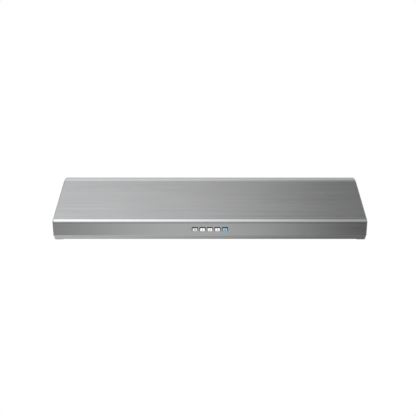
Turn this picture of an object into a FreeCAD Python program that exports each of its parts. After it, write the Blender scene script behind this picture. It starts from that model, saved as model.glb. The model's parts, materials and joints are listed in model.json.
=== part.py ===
import FreeCAD, Part
import math
import os

# Slim under-cabinet range hood, 30 inch class, in millimetres.
# Origin: middle of the top back edge. Z = 0 is the cabinet plane, Y = 0 the wall plane.
# The front faces -Y, and X runs to the right as seen from the front.

# ---- canopy outline, seen from the side ----
WIDTH = 759.0
HEIGHT = 152.4
TOP_DEPTH = 317.0          # wall to the corner where the slope starts
FRONT_DEPTH = 508.0        # wall to the corner between slope and front face
SLOPE_DEG = 29.0           # slope, below the horizontal
FRONT_LEAN_DEG = 22.0      # front face, its foot set back
CREASE_Z = -142.0          # height of the crease between front face and chamfer
CHAMFER_DEG = 27.0         # chamfer, below the horizontal
TOP_BEND_R = 110.0
FRONT_BEND_R = 8.0
CREASE_R = 3.0
LIP_R = 3.0
SHEET = 1.0                # sheet steel thickness
LIP_DEPTH = 13.0           # flat lip behind the chamfer
KNOCKOUT_REAR = 20.0       # wall to the rear edge of the top outlet
KNOCKOUT_LAP = 8.0         # how far its blanking plate reaches past the edge
BACK_RETURN = 20.0         # bottom return of the back panel

# ---- end caps ----
CAP_RIM = 3.0              # width of the rim seen from the front
CAP_PLATE = 1.2
CAP_EDGE_R = 2.5
CAP_SEAT = 14.5            # joggled seat that carries the canopy sheet
CAP_FOOT = 20.0            # flange under the bottom edge
CAP_SEAT_REAR = 480.0      # the seat's lower run ends this far from the wall
CAP_FOOT_REACH = 473.5     # the foot runs this far forward
CAP_X = WIDTH / 2 - CAP_RIM

# ---- underside pan and filters ----
PAN_Z = -138.0
PAN_HALF = 358.5
PAN_FLANGE_Z = -149.0
PAN_SCREW_X = 353.0
PAN_SCREWS_Y = (-430.0, -300.0, -170.0, -30.0)
PAN_HOLE_R = 2.2
SHEET_SCREW_R = 1.6
LEDGE_X = 348.0            # inner edge of the ledge's foot
LEDGE_Y = (-445.0, -15.0)
LEDGE_RISE = 16.0
FILTER_HOLE_X = (5.0, 345.0)
FILTER_HOLE_Y = (-376.0, -46.0)
FILTER_GAP = 1.5
FILTER_REAR_GAP = 4.0
FILTER_T = 9.0
FILTER_BAR = 10.0
FILTER_LIP = 1.2
FILTER_WALL = 1.5
MESH_T = 0.5               # solid share of one expanded-metal layer
HINGE_Y = -47.0
HINGE_Z = -135.5
TAB_SPREAD = 90.0          # rear tabs, either side of a filter's middle
TAB_HALF = 12.0
TAB_REACH = 7.0            # beyond the hinge line
POCKET_HALF = 32.0         # latch pocket in the front of the frame
POCKET_DEPTH = 44.0
POCKET_WALL = 1.2
LATCH_HALF = 14.0
LATCH_SLIDE = (8.0, 36.5)  # latch plate, from the filter's front edge
TONGUE_HALF = 7.0
TONGUE_OUT = 1.4           # how far the tongue stands out of the frame
GRIP_HALF = 10.0
GRIP_Y = (18.0, 28.0)
GRIP_DROP = 4.0
SPRING_HALF = 11.0
SPRING_BOW = 36.8          # front of the bow, from the filter's front edge
SPRING_SEAT = 42.7         # its ends, against the pocket's rear wall
SPRING_T = 0.4
SPRING_H = 2.0
LAMP_X = 200.0
LAMP_Y = -419.0
LAMP_R = 30.0
LAMP_FLANGE_R = 34.0
LENS_R = 26.0
LED_BOARD_R = 24.0
LAMP_CUP = 18.0            # depth of the lamp cup above the pan
DRIVER_X = (60.0, 140.0)
DRIVER_Y = (-442.0, -402.0)
DRIVER_H = 27.0

# ---- duct collar and damper ----
DUCT_W = 254.0             # 10 inch nominal
DUCT_H = 82.5              # 3 1/4 inch nominal
DUCT_Z = -48.0             # height of the duct's centre line
COLLAR_OUT = 48.0          # how far the collar stands out behind the wall plane
COLLAR_FLANGE = 12.0
DAMPER_Y = 10.0
DAMPER_Z = -14.0
DAMPER_ROD_R = 2.0
DAMPER_T = 0.8
FLAP_INSET = 3.5           # flap's end to the duct's nominal side
FLAP_BOTTOM = 3.8          # flap's lower edge above the duct's nominal bottom
RUNNING = 0.05             # radial clearance of a turning fit

# ---- blower ----
FAN_X = -30.0
FAN_Y = -178.0
FAN_R = 92.0
FAN_INNER_R = 76.0
FAN_TOP = -16.0
FAN_BOTTOM = -80.0
BLADES = 36
SCROLL_TOP = -6.0
SCROLL_BASE = -90.0
TONGUE_DEG = 110.0
TONGUE_R = 98.0
SCROLL_END_R = 157.0
INLET_R = 72.0
BLADE_R = 14.0             # outer radius of a blade's arc
BLADE_T = 1.2
BLADE_ARC = 62.0
WHEEL_T = 2.0              # web thickness of the wheel
BOWL_R = 52.0              # bowl of the wheel, around the motor
BOWL_Z = -60.0
BOSS_R = 10.0
BOSS_H = 12.0
GUARD_RINGS = (22, 34, 46, 58, 70)
GUARD_WIRE_R = 1.2
GUARD_HUB_R = 9.0
MOTOR_R = 44.0
MOTOR_SHELL_T = 1.5
BEARING_R = 9.0
CORE_Z = (-42.0, -18.0)    # height of the laminated core
ROTOR_R = 23.5
STATOR_BORE = 24.2
SHAFT_R = 4.0
SHAFT_Z = (-80.5, -13.0)
BUSH_PITCH_R = 48.0
BUSH_R = 5.0
EAR_Z = -10.0              # top of the motor's ears
MOTOR_SCREW_R = 2.0
CAPACITOR_R = 14.0
CAPACITOR_X = 172.0
CAPACITOR_Y = -200.0
CAPACITOR_L = 58.0
CAPACITOR_Z = -16.0
GROMMET_X = FAN_X + 50.0
STANDOFFS_ON_PLATE = ((-110.0, -90.0), (95.0, -90.0))
STANDOFFS_ON_TOP = ((-105.0, -255.0), (50.0, -255.0))

# ---- controls on the front face ----
BUTTON_PITCH = 18.1
BUTTON_HOLE = (15.0, 11.2)
BUTTON_HOLE_Y = -2.4       # holes' middle, below the middle of the face
BUTTON_CAP = (11.8, 8.0)
BUTTON_Y = -3.65           # caps' middle, low in their holes
BUTTON_PROUD = 0.8
BUTTON_HOLE_R = 2.5
BUTTON_DEPTH = 9.2         # cap's foot behind the face
BUTTON_FLANGE = (13.8, 10.2)
PLUNGER_R = 1.3
PLUNGER_DEPTH = 12.8
CARRIER_W = 108.0
CARRIER_H = 27.0
CARRIER_Y = -2.5           # carrier's middle, below the middle of the face
CARRIER_DEPTH = 8.5
CARRIER_EAR_X = 62.0
STUD_R = 1.5
BOARD_DEPTH = 16.0
BOARD_T = 1.6
BOARD_POSTS = (47.0, 9.0)
COVER_DEPTH = 27.0
COVER_WALL = 1.5
BUTTON_NAMES = ("lamp_button", "speed_1_button", "speed_2_button", "speed_3_button", "power_button")

# ---- fixings and wiring ----
CABINET_SCREW_R = 3.0
CABINET_SCREWS_X = 600.0
CABINET_SCREWS_Y = (-45.0, -245.0)
KNOCKOUT_R = 11.1          # 7/8 inch hole for a cable clamp
BOX_X = (205.0, 285.0)
BOX_DEPTH = 70.0
BOX_Z = (-61.0, -1.0)
BOX_SCREW_R = 1.5
BOX_LUG = 9.0
LOOM_R = 2.4
MOTOR_LOOM_R = 1.8
LAMP_LOOM_R = 1.6

V = FreeCAD.Vector


# ---- small helpers ----
def box(x0, x1, y0, y1, z0, z1):
    """Upright box between two corners."""
    return Part.makeBox(x1 - x0, y1 - y0, z1 - z0, V(x0, y0, z0))


def post(r, z0, z1, x=0.0, y=0.0):
    """Upright cylinder."""
    return Part.makeCylinder(r, z1 - z0, V(x, y, z0))


def ring(r_out, r_in, z0, z1, x=0.0, y=0.0):
    """Upright tube."""
    return post(r_out, z0, z1, x, y).cut(post(r_in, z0 - 1, z1 + 1, x, y))


def rod(r, x0, x1, y, z):
    """Cylinder along X."""
    return Part.makeCylinder(r, x1 - x0, V(x0, y, z), V(1, 0, 0))


def fuse(shapes):
    """One clean solid out of touching or crossing shapes."""
    first = shapes[0]
    return first.fuse(shapes[1:]).removeSplitter()


def mirror(shape):
    """The same shape on the other side of the plane X = 0."""
    return shape.mirror(V(0, 0, 0), V(1, 0, 0))


def sides(shape):
    """A shape and its mirror image, as separate solids."""
    return [shape, mirror(shape)]


def revolve(points, x, y):
    """Solid of revolution about an upright axis from (radius, height) points."""
    wire = Part.makePolygon([V(r, 0, z) for r, z in points + points[:1]])
    solid = Part.Face(wire).revolve(V(0, 0, 0), V(0, 0, 1), 360)
    solid.translate(V(x, y, 0))
    return solid


def plate(w, h, r, z0, z1, x=0.0, y=0.0):
    """Flat plate with rounded corners, centred on (x, y)."""
    body = box(x - w / 2, x + w / 2, y - h / 2, y + h / 2, z0, z1)
    upright = [e for e in body.Edges if abs(e.tangentAt(e.FirstParameter).z) > 0.99]
    return body.makeFillet(r, upright)


def rounded_wire(points, radii):
    """Closed outline in the YZ plane whose corners are rounded by tangent arcs."""
    edges = []
    count = len(points)
    ends = []
    for i, corner in enumerate(points):
        to_last = (points[i - 1] - corner).normalize()
        to_next = (points[(i + 1) % count] - corner).normalize()
        if radii[i] <= 0:
            ends.append((corner, None, corner))
            continue
        half = to_last.getAngle(to_next) / 2
        reach = radii[i] / math.tan(half)
        middle = (to_last + to_next).normalize() * (radii[i] / math.sin(half) - radii[i])
        ends.append((corner + to_last * reach, corner + middle, corner + to_next * reach))
    for i, (start, middle, end) in enumerate(ends):
        if middle is not None:
            edges.append(Part.Arc(start, middle, end).toShape())
        edges.append(Part.LineSegment(end, ends[(i + 1) % count][0]).toShape())
    return Part.Wire(edges)


def tube_along(points, r, bend):
    """Round lead along straight runs joined by tangent arcs."""
    edges = []
    start = points[0]
    for i in range(1, len(points) - 1):
        to_last = (points[i - 1] - points[i]).normalize()
        to_next = (points[i + 1] - points[i]).normalize()
        half = to_last.getAngle(to_next) / 2
        shorter = min(points[i].distanceToPoint(points[i - 1]), points[i].distanceToPoint(points[i + 1]))
        reach = min(bend / math.tan(half), 0.45 * shorter)
        radius = reach * math.tan(half)
        middle = (to_last + to_next).normalize() * (radius / math.sin(half) - radius)
        arc_start = points[i] + to_last * reach
        arc_end = points[i] + to_next * reach
        edges.append(Part.LineSegment(start, arc_start).toShape())
        edges.append(Part.Arc(arc_start, points[i] + middle, arc_end).toShape())
        start = arc_end
    edges.append(Part.LineSegment(start, points[-1]).toShape())
    spine = Part.Wire(edges)
    along = (points[1] - points[0]).normalize()
    section = Part.Wire([Part.makeCircle(r, points[0], along)])
    return spine.makePipeShell([section], True, True)


# ---- side outline ----
def side_corners(inset, bottom):
    """Corners of the hood's side outline moved inwards by inset: slope, nose, crease, lip, foot, top."""
    slope = math.radians(SLOPE_DEG)
    lean = math.radians(FRONT_LEAN_DEG)
    chamfer = math.radians(CHAMFER_DEG)
    nose = V(0, -FRONT_DEPTH, -(FRONT_DEPTH - TOP_DEPTH) * math.tan(slope))
    crease = V(0, nose.y + (nose.z - CREASE_Z) * math.tan(lean), CREASE_Z)
    lines = [
        (V(0, 0, 0), V(0, -1, 0)),
        (V(0, -TOP_DEPTH, 0), V(0, -math.cos(slope), -math.sin(slope))),
        (nose, V(0, math.sin(lean), -math.cos(lean))),
        (crease, V(0, math.cos(chamfer), -math.sin(chamfer))),
        (V(0, 0, bottom), V(0, 1, 0)),
        (V(0, 0, 0), V(0, 0, 1)),
    ]
    moved = []
    for point, along in lines:
        inwards = V(0, -along.z, along.y)
        moved.append((point + inwards * inset, along))
    corners = []
    for (p, d), (q, e) in zip(moved, moved[1:] + moved[:1]):
        across = q - p
        t = (across.y * e.z - across.z * e.y) / (d.y * e.z - d.z * e.y)
        corners.append(p + d * t)
    return corners


def side_outline(inset, bottom):
    """Closed side outline with its four bends rounded."""
    radii = [r - inset for r in (TOP_BEND_R, FRONT_BEND_R, CREASE_R, LIP_R)] + [0, 0]
    return rounded_wire(side_corners(inset, bottom), radii)


def lip_end():
    """Where the canopy's bottom lip ends, behind the chamfer."""
    return side_corners(0, -HEIGHT + SHEET)[3].y + LIP_DEPTH


def side_prism(inset, bottom, x0, x1):
    """The side outline made solid between two stations along X."""
    solid = Part.Face(side_outline(inset, bottom)).extrude(V(x1 - x0, 0, 0))
    solid.translate(V(x0, 0, 0))
    return solid


def face_origin():
    """Middle of the front face, on its outer surface."""
    nose, crease = side_corners(0, -HEIGHT)[1:3]
    return (nose + crease) / 2


def on_face(shape):
    """Puts a shape drawn flat (X across, Y up, Z outwards) on the leaning front face."""
    turn = FreeCAD.Rotation(V(1, 0, 0), 90 + FRONT_LEAN_DEG)
    shape.Placement = FreeCAD.Placement(face_origin(), turn).multiply(shape.Placement)
    return shape


def button_centres():
    """Places of the five buttons across the front face."""
    middle = (len(BUTTON_NAMES) - 1) / 2
    return [(i - middle) * BUTTON_PITCH for i in range(len(BUTTON_NAMES))]


def button_hole(z0, z1, x):
    """Rounded hole that a button stands in, cut between two depths."""
    return plate(BUTTON_HOLE[0], BUTTON_HOLE[1], BUTTON_HOLE_R, z0, z1, x, BUTTON_HOLE_Y)


# ---- shell ----
def canopy_skin():
    """Folded sheet: flat top, long bend, slope, front face, chamfer and bottom lip."""
    lip_z = -HEIGHT + SHEET
    skin = side_prism(0, lip_z, -CAP_X, CAP_X).cut(side_prism(SHEET, lip_z, -CAP_X - 1, CAP_X + 1))
    rear = lip_end()
    skin = skin.cut(box(-CAP_X - 1, CAP_X + 1, -SHEET, 1, lip_z - 1, -SHEET))
    skin = skin.cut(box(-CAP_X - 1, CAP_X + 1, rear, 1, lip_z - 1, lip_z + 2 * SHEET))
    upturn = box(-CAP_X + CAP_FOOT, CAP_X - CAP_FOOT, rear - SHEET, rear, lip_z, PAN_Z)
    skin = fuse([skin, upturn])
    knockout = box(-DUCT_W / 2, DUCT_W / 2, -KNOCKOUT_REAR - DUCT_H, -KNOCKOUT_REAR, -2 * SHEET, 1)
    cuts = [knockout]
    for x in (-CABINET_SCREWS_X / 2, CABINET_SCREWS_X / 2):
        for y in CABINET_SCREWS_Y:
            cuts.append(post(CABINET_SCREW_R, -2 * SHEET, 1, x, y))
    for x in button_centres():
        cuts.append(on_face(button_hole(-2 * SHEET, 2, x)))
    return skin.cut(cuts)


def end_cap():
    """Right end cap: side plate, rounded rim, joggled seat, rear flange and foot."""
    slab = side_prism(0, -HEIGHT, CAP_X, WIDTH / 2)
    outer = [e for e in slab.Edges if e.BoundBox.XMin > WIDTH / 2 - 0.01]
    slab = slab.makeFillet(CAP_EDGE_R, outer)
    pocket = side_prism(SHEET, -HEIGHT, CAP_X - 1, WIDTH / 2 - CAP_PLATE)
    slab = slab.cut(pocket)
    inner = CAP_X - CAP_SEAT
    seat = side_prism(SHEET, -HEIGHT, inner, WIDTH / 2 - CAP_PLATE + 0.2)
    seat = seat.cut(side_prism(2 * SHEET, -HEIGHT, inner - 1, WIDTH / 2))
    seat = seat.cut(box(inner - 1, WIDTH / 2, -CAP_SEAT_REAR, 1, -HEIGHT - 1, -HEIGHT + 4 * SHEET))
    foot = box(WIDTH / 2 - CAP_FOOT, CAP_X + 0.5, -CAP_FOOT_REACH, -SHEET, -HEIGHT, -HEIGHT + SHEET)
    return fuse([slab, seat, foot])


def back_panel():
    """Rear sheet with the duct window, the cable knock-out and a bottom return."""
    sheet = box(-CAP_X, CAP_X, -SHEET, 0, -HEIGHT + SHEET, -SHEET)
    ret = box(-CAP_X, CAP_X, -BACK_RETURN, -SHEET, -HEIGHT + SHEET, -HEIGHT + 2 * SHEET)
    window = box(-DUCT_W / 2, DUCT_W / 2, -3, 1, DUCT_Z - DUCT_H / 2, DUCT_Z + DUCT_H / 2)
    hole = Part.makeCylinder(KNOCKOUT_R, 4, V(sum(BOX_X) / 2, -2, sum(BOX_Z) / 2), V(0, 1, 0))
    return fuse([sheet, ret]).cut([window, hole])


def underside_pan():
    """Recessed underside tray with two filter windows and two lamp holes."""
    front = lip_end()
    rear = -2 * SHEET
    body = box(-PAN_HALF, PAN_HALF, front, rear, PAN_FLANGE_Z, PAN_Z + SHEET)
    inner = PAN_HALF - SHEET
    body = body.cut(box(-inner, inner, front + SHEET, rear - SHEET, PAN_FLANGE_Z - 1, PAN_Z))
    cuts = []
    y0, y1 = FILTER_HOLE_Y
    for window in sides(box(FILTER_HOLE_X[0], FILTER_HOLE_X[1], y0, y1, PAN_Z - 1, PAN_Z + 2)):
        cuts.append(window)
    for x in (-LAMP_X, LAMP_X):
        cuts.append(post(LAMP_R, PAN_Z - 1, PAN_Z + 2, x, LAMP_Y))
    for x, y in pan_screw_places():
        cuts.append(post(PAN_HOLE_R, PAN_Z - 1, PAN_Z + 2, x, y))
    return body.cut(cuts)


def pan_screw_places():
    """Four screws along each side of the pan."""
    return [(s * PAN_SCREW_X, y) for s in (-1, 1) for y in PAN_SCREWS_Y]


def pan_ledge():
    """Angle on the right end cap that the pan is screwed up to."""
    side = WIDTH / 2 - CAP_PLATE
    y0, y1 = LEDGE_Y
    foot = box(LEDGE_X, side, y0, y1, PAN_Z + SHEET, PAN_Z + 2 * SHEET)
    wall = box(side - SHEET, side, y0, y1, PAN_Z + SHEET, PAN_Z + LEDGE_RISE)
    holes = [post(SHEET_SCREW_R, PAN_Z, PAN_Z + 3 * SHEET, x, y) for x, y in pan_screw_places() if x > 0]
    return fuse([foot, wall]).cut(holes)


def screw_up(x, y, z, r, length, head_r, head_h):
    """Pan-head screw pointing up, its head under height z."""
    low = z - head_h
    head = post(head_r, low, z, x, y)
    rim = [e for e in head.Edges if e.BoundBox.ZMax < low + 0.01]
    head = head.makeFillet(head_h * 0.6, rim)
    arm = head_r * 0.7
    slot = box(x - arm, x + arm, y - 0.5, y + 0.5, low - 1, low + 0.8)
    cross = box(x - 0.5, x + 0.5, y - arm, y + arm, low - 1, low + 0.8)
    return fuse([head, post(r, z - 0.2, z + length, x, y)]).cut([slot, cross])


def pan_screws():
    """Screws that hold the pan to both ledges."""
    return [screw_up(x, y, PAN_Z, SHEET_SCREW_R, 6, 3.5, 2.2) for x, y in pan_screw_places()]


def top_knockout_plate():
    """Blanking plate spot-welded under the unused top outlet."""
    half_w = DUCT_W / 2 + KNOCKOUT_LAP
    front = -KNOCKOUT_REAR - DUCT_H - KNOCKOUT_LAP
    return box(-half_w, half_w, front, -KNOCKOUT_REAR + KNOCKOUT_LAP, -2 * SHEET, -SHEET)


# ---- duct collar and damper ----
def duct_collar():
    """Rectangular spigot for 3 1/4 x 10 inch duct, with its inner flange and flap stop."""
    half_w = DUCT_W / 2 - 1
    half_h = DUCT_H / 2 - 1
    rear = -SHEET
    tube = box(-half_w, half_w, rear - SHEET, COLLAR_OUT, DUCT_Z - half_h, DUCT_Z + half_h)
    flange = box(
        -half_w - COLLAR_FLANGE, half_w + COLLAR_FLANGE, rear - SHEET, rear,
        DUCT_Z - half_h - COLLAR_FLANGE, DUCT_Z + half_h + 5,
    )
    inside = box(
        -half_w + SHEET, half_w - SHEET, rear - SHEET - 1, COLLAR_OUT + 1,
        DUCT_Z - half_h + SHEET, DUCT_Z + half_h - SHEET,
    )
    body = fuse([tube, flange]).cut(inside)
    floor = DUCT_Z - half_h
    stop_y = DAMPER_Y - DAMPER_T
    stop = box(-half_w + 0.5, half_w - 0.5, stop_y - SHEET, stop_y, floor + 0.5, floor + 6)
    pivots = rod(DAMPER_ROD_R + RUNNING, -half_w - 1, half_w + 1, DAMPER_Y, DAMPER_Z)
    screws = [
        Part.makeCylinder(SHEET_SCREW_R, 4, V(x, -4, z), V(0, 1, 0)) for x, z in collar_screw_places()
    ]
    return fuse([body, stop]).cut([pivots] + screws)


def collar_screw_places():
    """Screws through the collar's flange, left and right and below."""
    low = DUCT_Z - DUCT_H / 2 - 5
    return [(s * (DUCT_W / 2 + 6), DUCT_Z) for s in (-1, 1)] + [(s * 80.0, low) for s in (-1, 1)]


def collar_screws():
    """Sheet-metal screws from inside, through flange and back panel."""
    screws = []
    for x, z in collar_screw_places():
        head = Part.makeCylinder(3.0, 2.0, V(x, -4, z), V(0, 1, 0))
        stem = Part.makeCylinder(SHEET_SCREW_R, 1.1, V(x, -2.1, z), V(0, 1, 0))
        screws.append(fuse([head, stem]))
    return screws


def damper_flap():
    """Backdraft flap that hangs from its rod and swings out into the duct."""
    half_w = DUCT_W / 2 - FLAP_INSET
    low = DUCT_Z - DUCT_H / 2 + FLAP_BOTTOM
    face = DAMPER_Y + DAMPER_T / 2
    leaf = box(-half_w, half_w, face - DAMPER_T, face, low, DAMPER_Z - DAMPER_ROD_R)
    curl = rod(DAMPER_ROD_R + SHEET, -half_w, half_w, DAMPER_Y, DAMPER_Z)
    stiffener = box(-half_w + 20, half_w - 20, face - 0.1, face + 2.6, low + 20, low + 20 + SHEET)
    flap = fuse([leaf, curl, stiffener])
    return flap.cut(rod(DAMPER_ROD_R, -half_w - 1, half_w + 1, DAMPER_Y, DAMPER_Z))


def damper_rod():
    """Pivot rod of the flap, turning in the collar's side walls."""
    half_w = DUCT_W / 2 - 1
    return rod(DAMPER_ROD_R, -half_w - 0.4, half_w + 0.4, DAMPER_Y, DAMPER_Z)


# ---- blower ----
def spiral(grow):
    """Points of the scroll wall, a logarithmic spiral about the fan, moved out by grow."""
    steps = 10
    sweep = math.radians(360 - TONGUE_DEG)
    rate = math.log(SCROLL_END_R / TONGUE_R) / sweep
    points = []
    for i in range(steps + 1):
        turned = sweep * i / steps
        angle = math.radians(TONGUE_DEG) + turned
        r = TONGUE_R * math.exp(rate * turned) + grow
        points.append(V(FAN_X + r * math.cos(angle), FAN_Y + r * math.sin(angle), 0))
    return points


def scroll_face(grow):
    """Plan of the scroll: spiral, straight outer wall, outlet and flared inner wall."""
    curve = Part.BSplineCurve()
    points = spiral(grow)
    curve.interpolate(points)
    outlet = -2 * SHEET
    right = points[-1].x
    left = -DUCT_W / 2 + 1 - grow
    route = [points[-1], V(right, outlet, 0), V(left, outlet, 0), V(left, -25, 0), points[0]]
    edges = [curve.toShape()]
    for a, b in zip(route, route[1:]):
        edges.append(Part.LineSegment(a, b).toShape())
    return Part.Face(Part.Wire(edges))


def scroll_housing():
    """Blower housing: top plate and spiral wall, open to the rear duct."""
    outer = scroll_face(SHEET).extrude(V(0, 0, SCROLL_TOP - SCROLL_BASE))
    outer.translate(V(0, 0, SCROLL_BASE))
    inner = scroll_face(0).extrude(V(0, 0, SCROLL_TOP - SCROLL_BASE - SHEET + 1))
    inner.translate(V(0, 0, SCROLL_BASE - 1))
    mouth = box(-DUCT_W / 2 + 1, DUCT_W / 2 - 1, -4, 0, SCROLL_BASE - 1, SCROLL_TOP - SHEET)
    body = outer.cut([inner, mouth])
    holes = [post(MOTOR_SCREW_R + 0.6, SCROLL_TOP - 3, SCROLL_TOP + 1, x, y) for x, y in bush_places()]
    return body.cut(holes + [post(5, SCROLL_TOP - 3, SCROLL_TOP + 1, GROMMET_X, FAN_Y)])


def scroll_base():
    """Bottom plate of the blower with its rolled inlet ring."""
    base = scroll_face(SHEET).extrude(V(0, 0, SHEET))
    base.translate(V(0, 0, SCROLL_BASE - SHEET))
    base = base.cut(post(INLET_R, SCROLL_BASE - 3, SCROLL_BASE + 3, FAN_X, FAN_Y))
    roll = ring(INLET_R + 1.5, INLET_R, SCROLL_BASE - SHEET, SCROLL_BASE + 6, FAN_X, FAN_Y)
    return fuse([base, roll])


def blower_standoffs():
    """Spacers between the canopy's top and the blower."""
    rear = [post(6, SCROLL_TOP, -2 * SHEET, x, y) for x, y in STANDOFFS_ON_PLATE]
    front = [post(6, SCROLL_TOP, -SHEET, x, y) for x, y in STANDOFFS_ON_TOP]
    return front + rear


def inlet_guard():
    """Wire finger guard under the blower inlet."""
    z = SCROLL_BASE - SHEET - 2.4
    wires = [post(GUARD_HUB_R, z - GUARD_WIRE_R, z + 1.6, FAN_X, FAN_Y)]
    for r in GUARD_RINGS:
        wires.append(Part.makeTorus(r, GUARD_WIRE_R, V(FAN_X, FAN_Y, z)))
    for angle in range(0, 360, 60):
        spoke = Part.makeCylinder(1.0, INLET_R, V(6, 0, 0), V(1, 0, 0))
        clip = box(INLET_R + 1, INLET_R + 12, -4, 4, -0.6, SCROLL_BASE - SHEET - z)
        for piece in (spoke, clip):
            piece.rotate(V(0, 0, 0), V(0, 0, 1), angle + 15)
            piece.translate(V(FAN_X, FAN_Y, z))
            wires.append(piece)
    return fuse(wires)


def impeller_backplate():
    """Top disc of the squirrel-cage wheel, with its bowl around the motor and its boss."""
    t = WHEEL_T
    foot = BOWL_Z - BOSS_H
    rim = BOWL_R + t
    return revolve(
        [
            (SHAFT_R, BOWL_Z), (SHAFT_R, foot), (BOSS_R, foot), (BOSS_R, BOWL_Z), (BOWL_R, BOWL_Z),
            (rim, FAN_TOP - t), (FAN_R, FAN_TOP - t), (FAN_R, FAN_TOP), (BOWL_R, FAN_TOP),
            (BOWL_R - t, BOWL_Z + t), (SHAFT_R, BOWL_Z + t),
        ],
        FAN_X, FAN_Y,
    )


def impeller_blades():
    """Forward-curved blades of the wheel on their bottom ring."""
    low = FAN_BOTTOM + WHEEL_T / 4
    height = FAN_TOP - WHEEL_T - low
    ring_in = FAN_INNER_R
    blades = []
    for i in range(BLADES):
        blade = Part.makeCylinder(BLADE_R, height, V(0, 0, 0), V(0, 0, 1), BLADE_ARC)
        blade = blade.cut(Part.makeCylinder(BLADE_R - BLADE_T, height + 2, V(0, 0, -1)))
        blade.translate(V(BLADE_T / 2 - BLADE_R, 0, 0))
        blade.rotate(V(0, 0, 0), V(0, 0, 1), -118)
        blade.translate(V(ring_in + BLADE_T, 0, low))
        blade.rotate(V(0, 0, 0), V(0, 0, 1), 360 * i / BLADES)
        blade.translate(V(FAN_X, FAN_Y, 0))
        blades.append(blade)
    foot = ring(FAN_R, ring_in, FAN_BOTTOM, FAN_BOTTOM + WHEEL_T, FAN_X, FAN_Y)
    outside = ring(FAN_R + 30, FAN_R, FAN_BOTTOM - 1, FAN_TOP + 1, FAN_X, FAN_Y)
    return foot.fuse(blades).cut(outside)


def impeller_nut():
    """Nut under the impeller's hub."""
    hexagon = Part.makePolygon(
        [V(9 * math.cos(math.radians(a)), 9 * math.sin(math.radians(a)), 0) for a in range(0, 361, 60)]
    )
    top = BOWL_Z - BOSS_H
    body = Part.Face(hexagon).extrude(V(0, 0, 7))
    body.translate(V(FAN_X, FAN_Y, top - 7))
    return body.cut(post(SHAFT_R, top - 8, top + 1, FAN_X, FAN_Y))


def motor_shaft():
    """Shaft from the upper bearing down through the hub."""
    return post(SHAFT_R, SHAFT_Z[0], SHAFT_Z[1], FAN_X, FAN_Y)


def motor_rotor():
    """Rotor pressed on the shaft."""
    return ring(ROTOR_R, SHAFT_R, CORE_Z[0], CORE_Z[1], FAN_X, FAN_Y)


def motor_stator():
    """Laminated stator ring between the two motor shells."""
    return ring(MOTOR_R - MOTOR_SHELL_T, STATOR_BORE, CORE_Z[0], CORE_Z[1], FAN_X, FAN_Y)


def motor_upper_shell():
    """Upper motor shell with three ears for the bushes and the upper bearing."""
    under = EAR_Z - MOTOR_SHELL_T
    parting = sum(CORE_Z) / 2
    hollow = post(MOTOR_R - MOTOR_SHELL_T, parting - 1, under, FAN_X, FAN_Y)
    shell = post(MOTOR_R, parting, EAR_Z, FAN_X, FAN_Y).cut(hollow)
    bearing = post(BEARING_R, SHAFT_Z[1] - 3, EAR_Z - 1, FAN_X, FAN_Y)
    ears = [post(6, under, EAR_Z, x, y) for x, y in bush_places()]
    links = []
    for angle in (90, 210, 330):
        link = box(40, BUSH_PITCH_R, -6, 6, under, EAR_Z)
        link.rotate(V(0, 0, 0), V(0, 0, 1), angle)
        link.translate(V(FAN_X, FAN_Y, 0))
        links.append(link)
    body = fuse([shell, bearing] + ears + links)
    holes = [post(MOTOR_SCREW_R, EAR_Z - 3, EAR_Z + 1, x, y) for x, y in bush_places()]
    return body.cut(holes + [post(SHAFT_R + RUNNING, -17, SHAFT_Z[1] + 0.5, FAN_X, FAN_Y)])


def motor_lower_shell():
    """Lower motor shell with vents and the lower bearing."""
    parting = sum(CORE_Z) / 2
    low = CORE_Z[0] - 9
    hollow = post(MOTOR_R - MOTOR_SHELL_T, low + MOTOR_SHELL_T, parting + 1, FAN_X, FAN_Y)
    shell = post(MOTOR_R, low, parting, FAN_X, FAN_Y).cut(hollow)
    bearing = post(BEARING_R, low - 2, low + 5, FAN_X, FAN_Y)
    body = fuse([shell, bearing]).cut(post(SHAFT_R + RUNNING, -54, -45, FAN_X, FAN_Y))
    vents = []
    for angle in range(0, 360, 45):
        vent = box(18, 34, -3, 3, low - 1, low + 2)
        vent.rotate(V(0, 0, 0), V(0, 0, 1), angle)
        vent.translate(V(FAN_X, FAN_Y, 0))
        vents.append(vent)
    return body.cut(vents)


def bush_places():
    """Three mounting points of the motor around its axis."""
    places = []
    for angle in (90, 210, 330):
        a = math.radians(angle)
        places.append((FAN_X + BUSH_PITCH_R * math.cos(a), FAN_Y + BUSH_PITCH_R * math.sin(a)))
    return places


def motor_bushes():
    """Rubber bushes between motor ears and the blower's top plate."""
    return [ring(BUSH_R, MOTOR_SCREW_R, EAR_Z, SCROLL_TOP - SHEET, x, y) for x, y in bush_places()]


def motor_screws():
    """Screws down through top plate, bush and ear, with a nut below."""
    screws = []
    for x, y in bush_places():
        head = post(4, SCROLL_TOP, SCROLL_TOP + 2.2, x, y)
        nut = post(3.2, EAR_Z - 4, EAR_Z - MOTOR_SHELL_T, x, y)
        stem = post(MOTOR_SCREW_R, EAR_Z - 4.5, SCROLL_TOP + 0.2, x, y)
        screws.append(fuse([head, stem, nut]))
    return screws


def run_capacitor():
    """Motor capacitor to the right of the blower, with its terminal lug."""
    x, y, z = CAPACITOR_X, CAPACITOR_Y, CAPACITOR_Z
    can = Part.makeCylinder(CAPACITOR_R, CAPACITOR_L, V(x, y, z), V(0, 1, 0))
    lug = box(x - 4, x + 4, y - 3, y, z - 3, z + 3)
    return fuse([can, lug])


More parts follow.
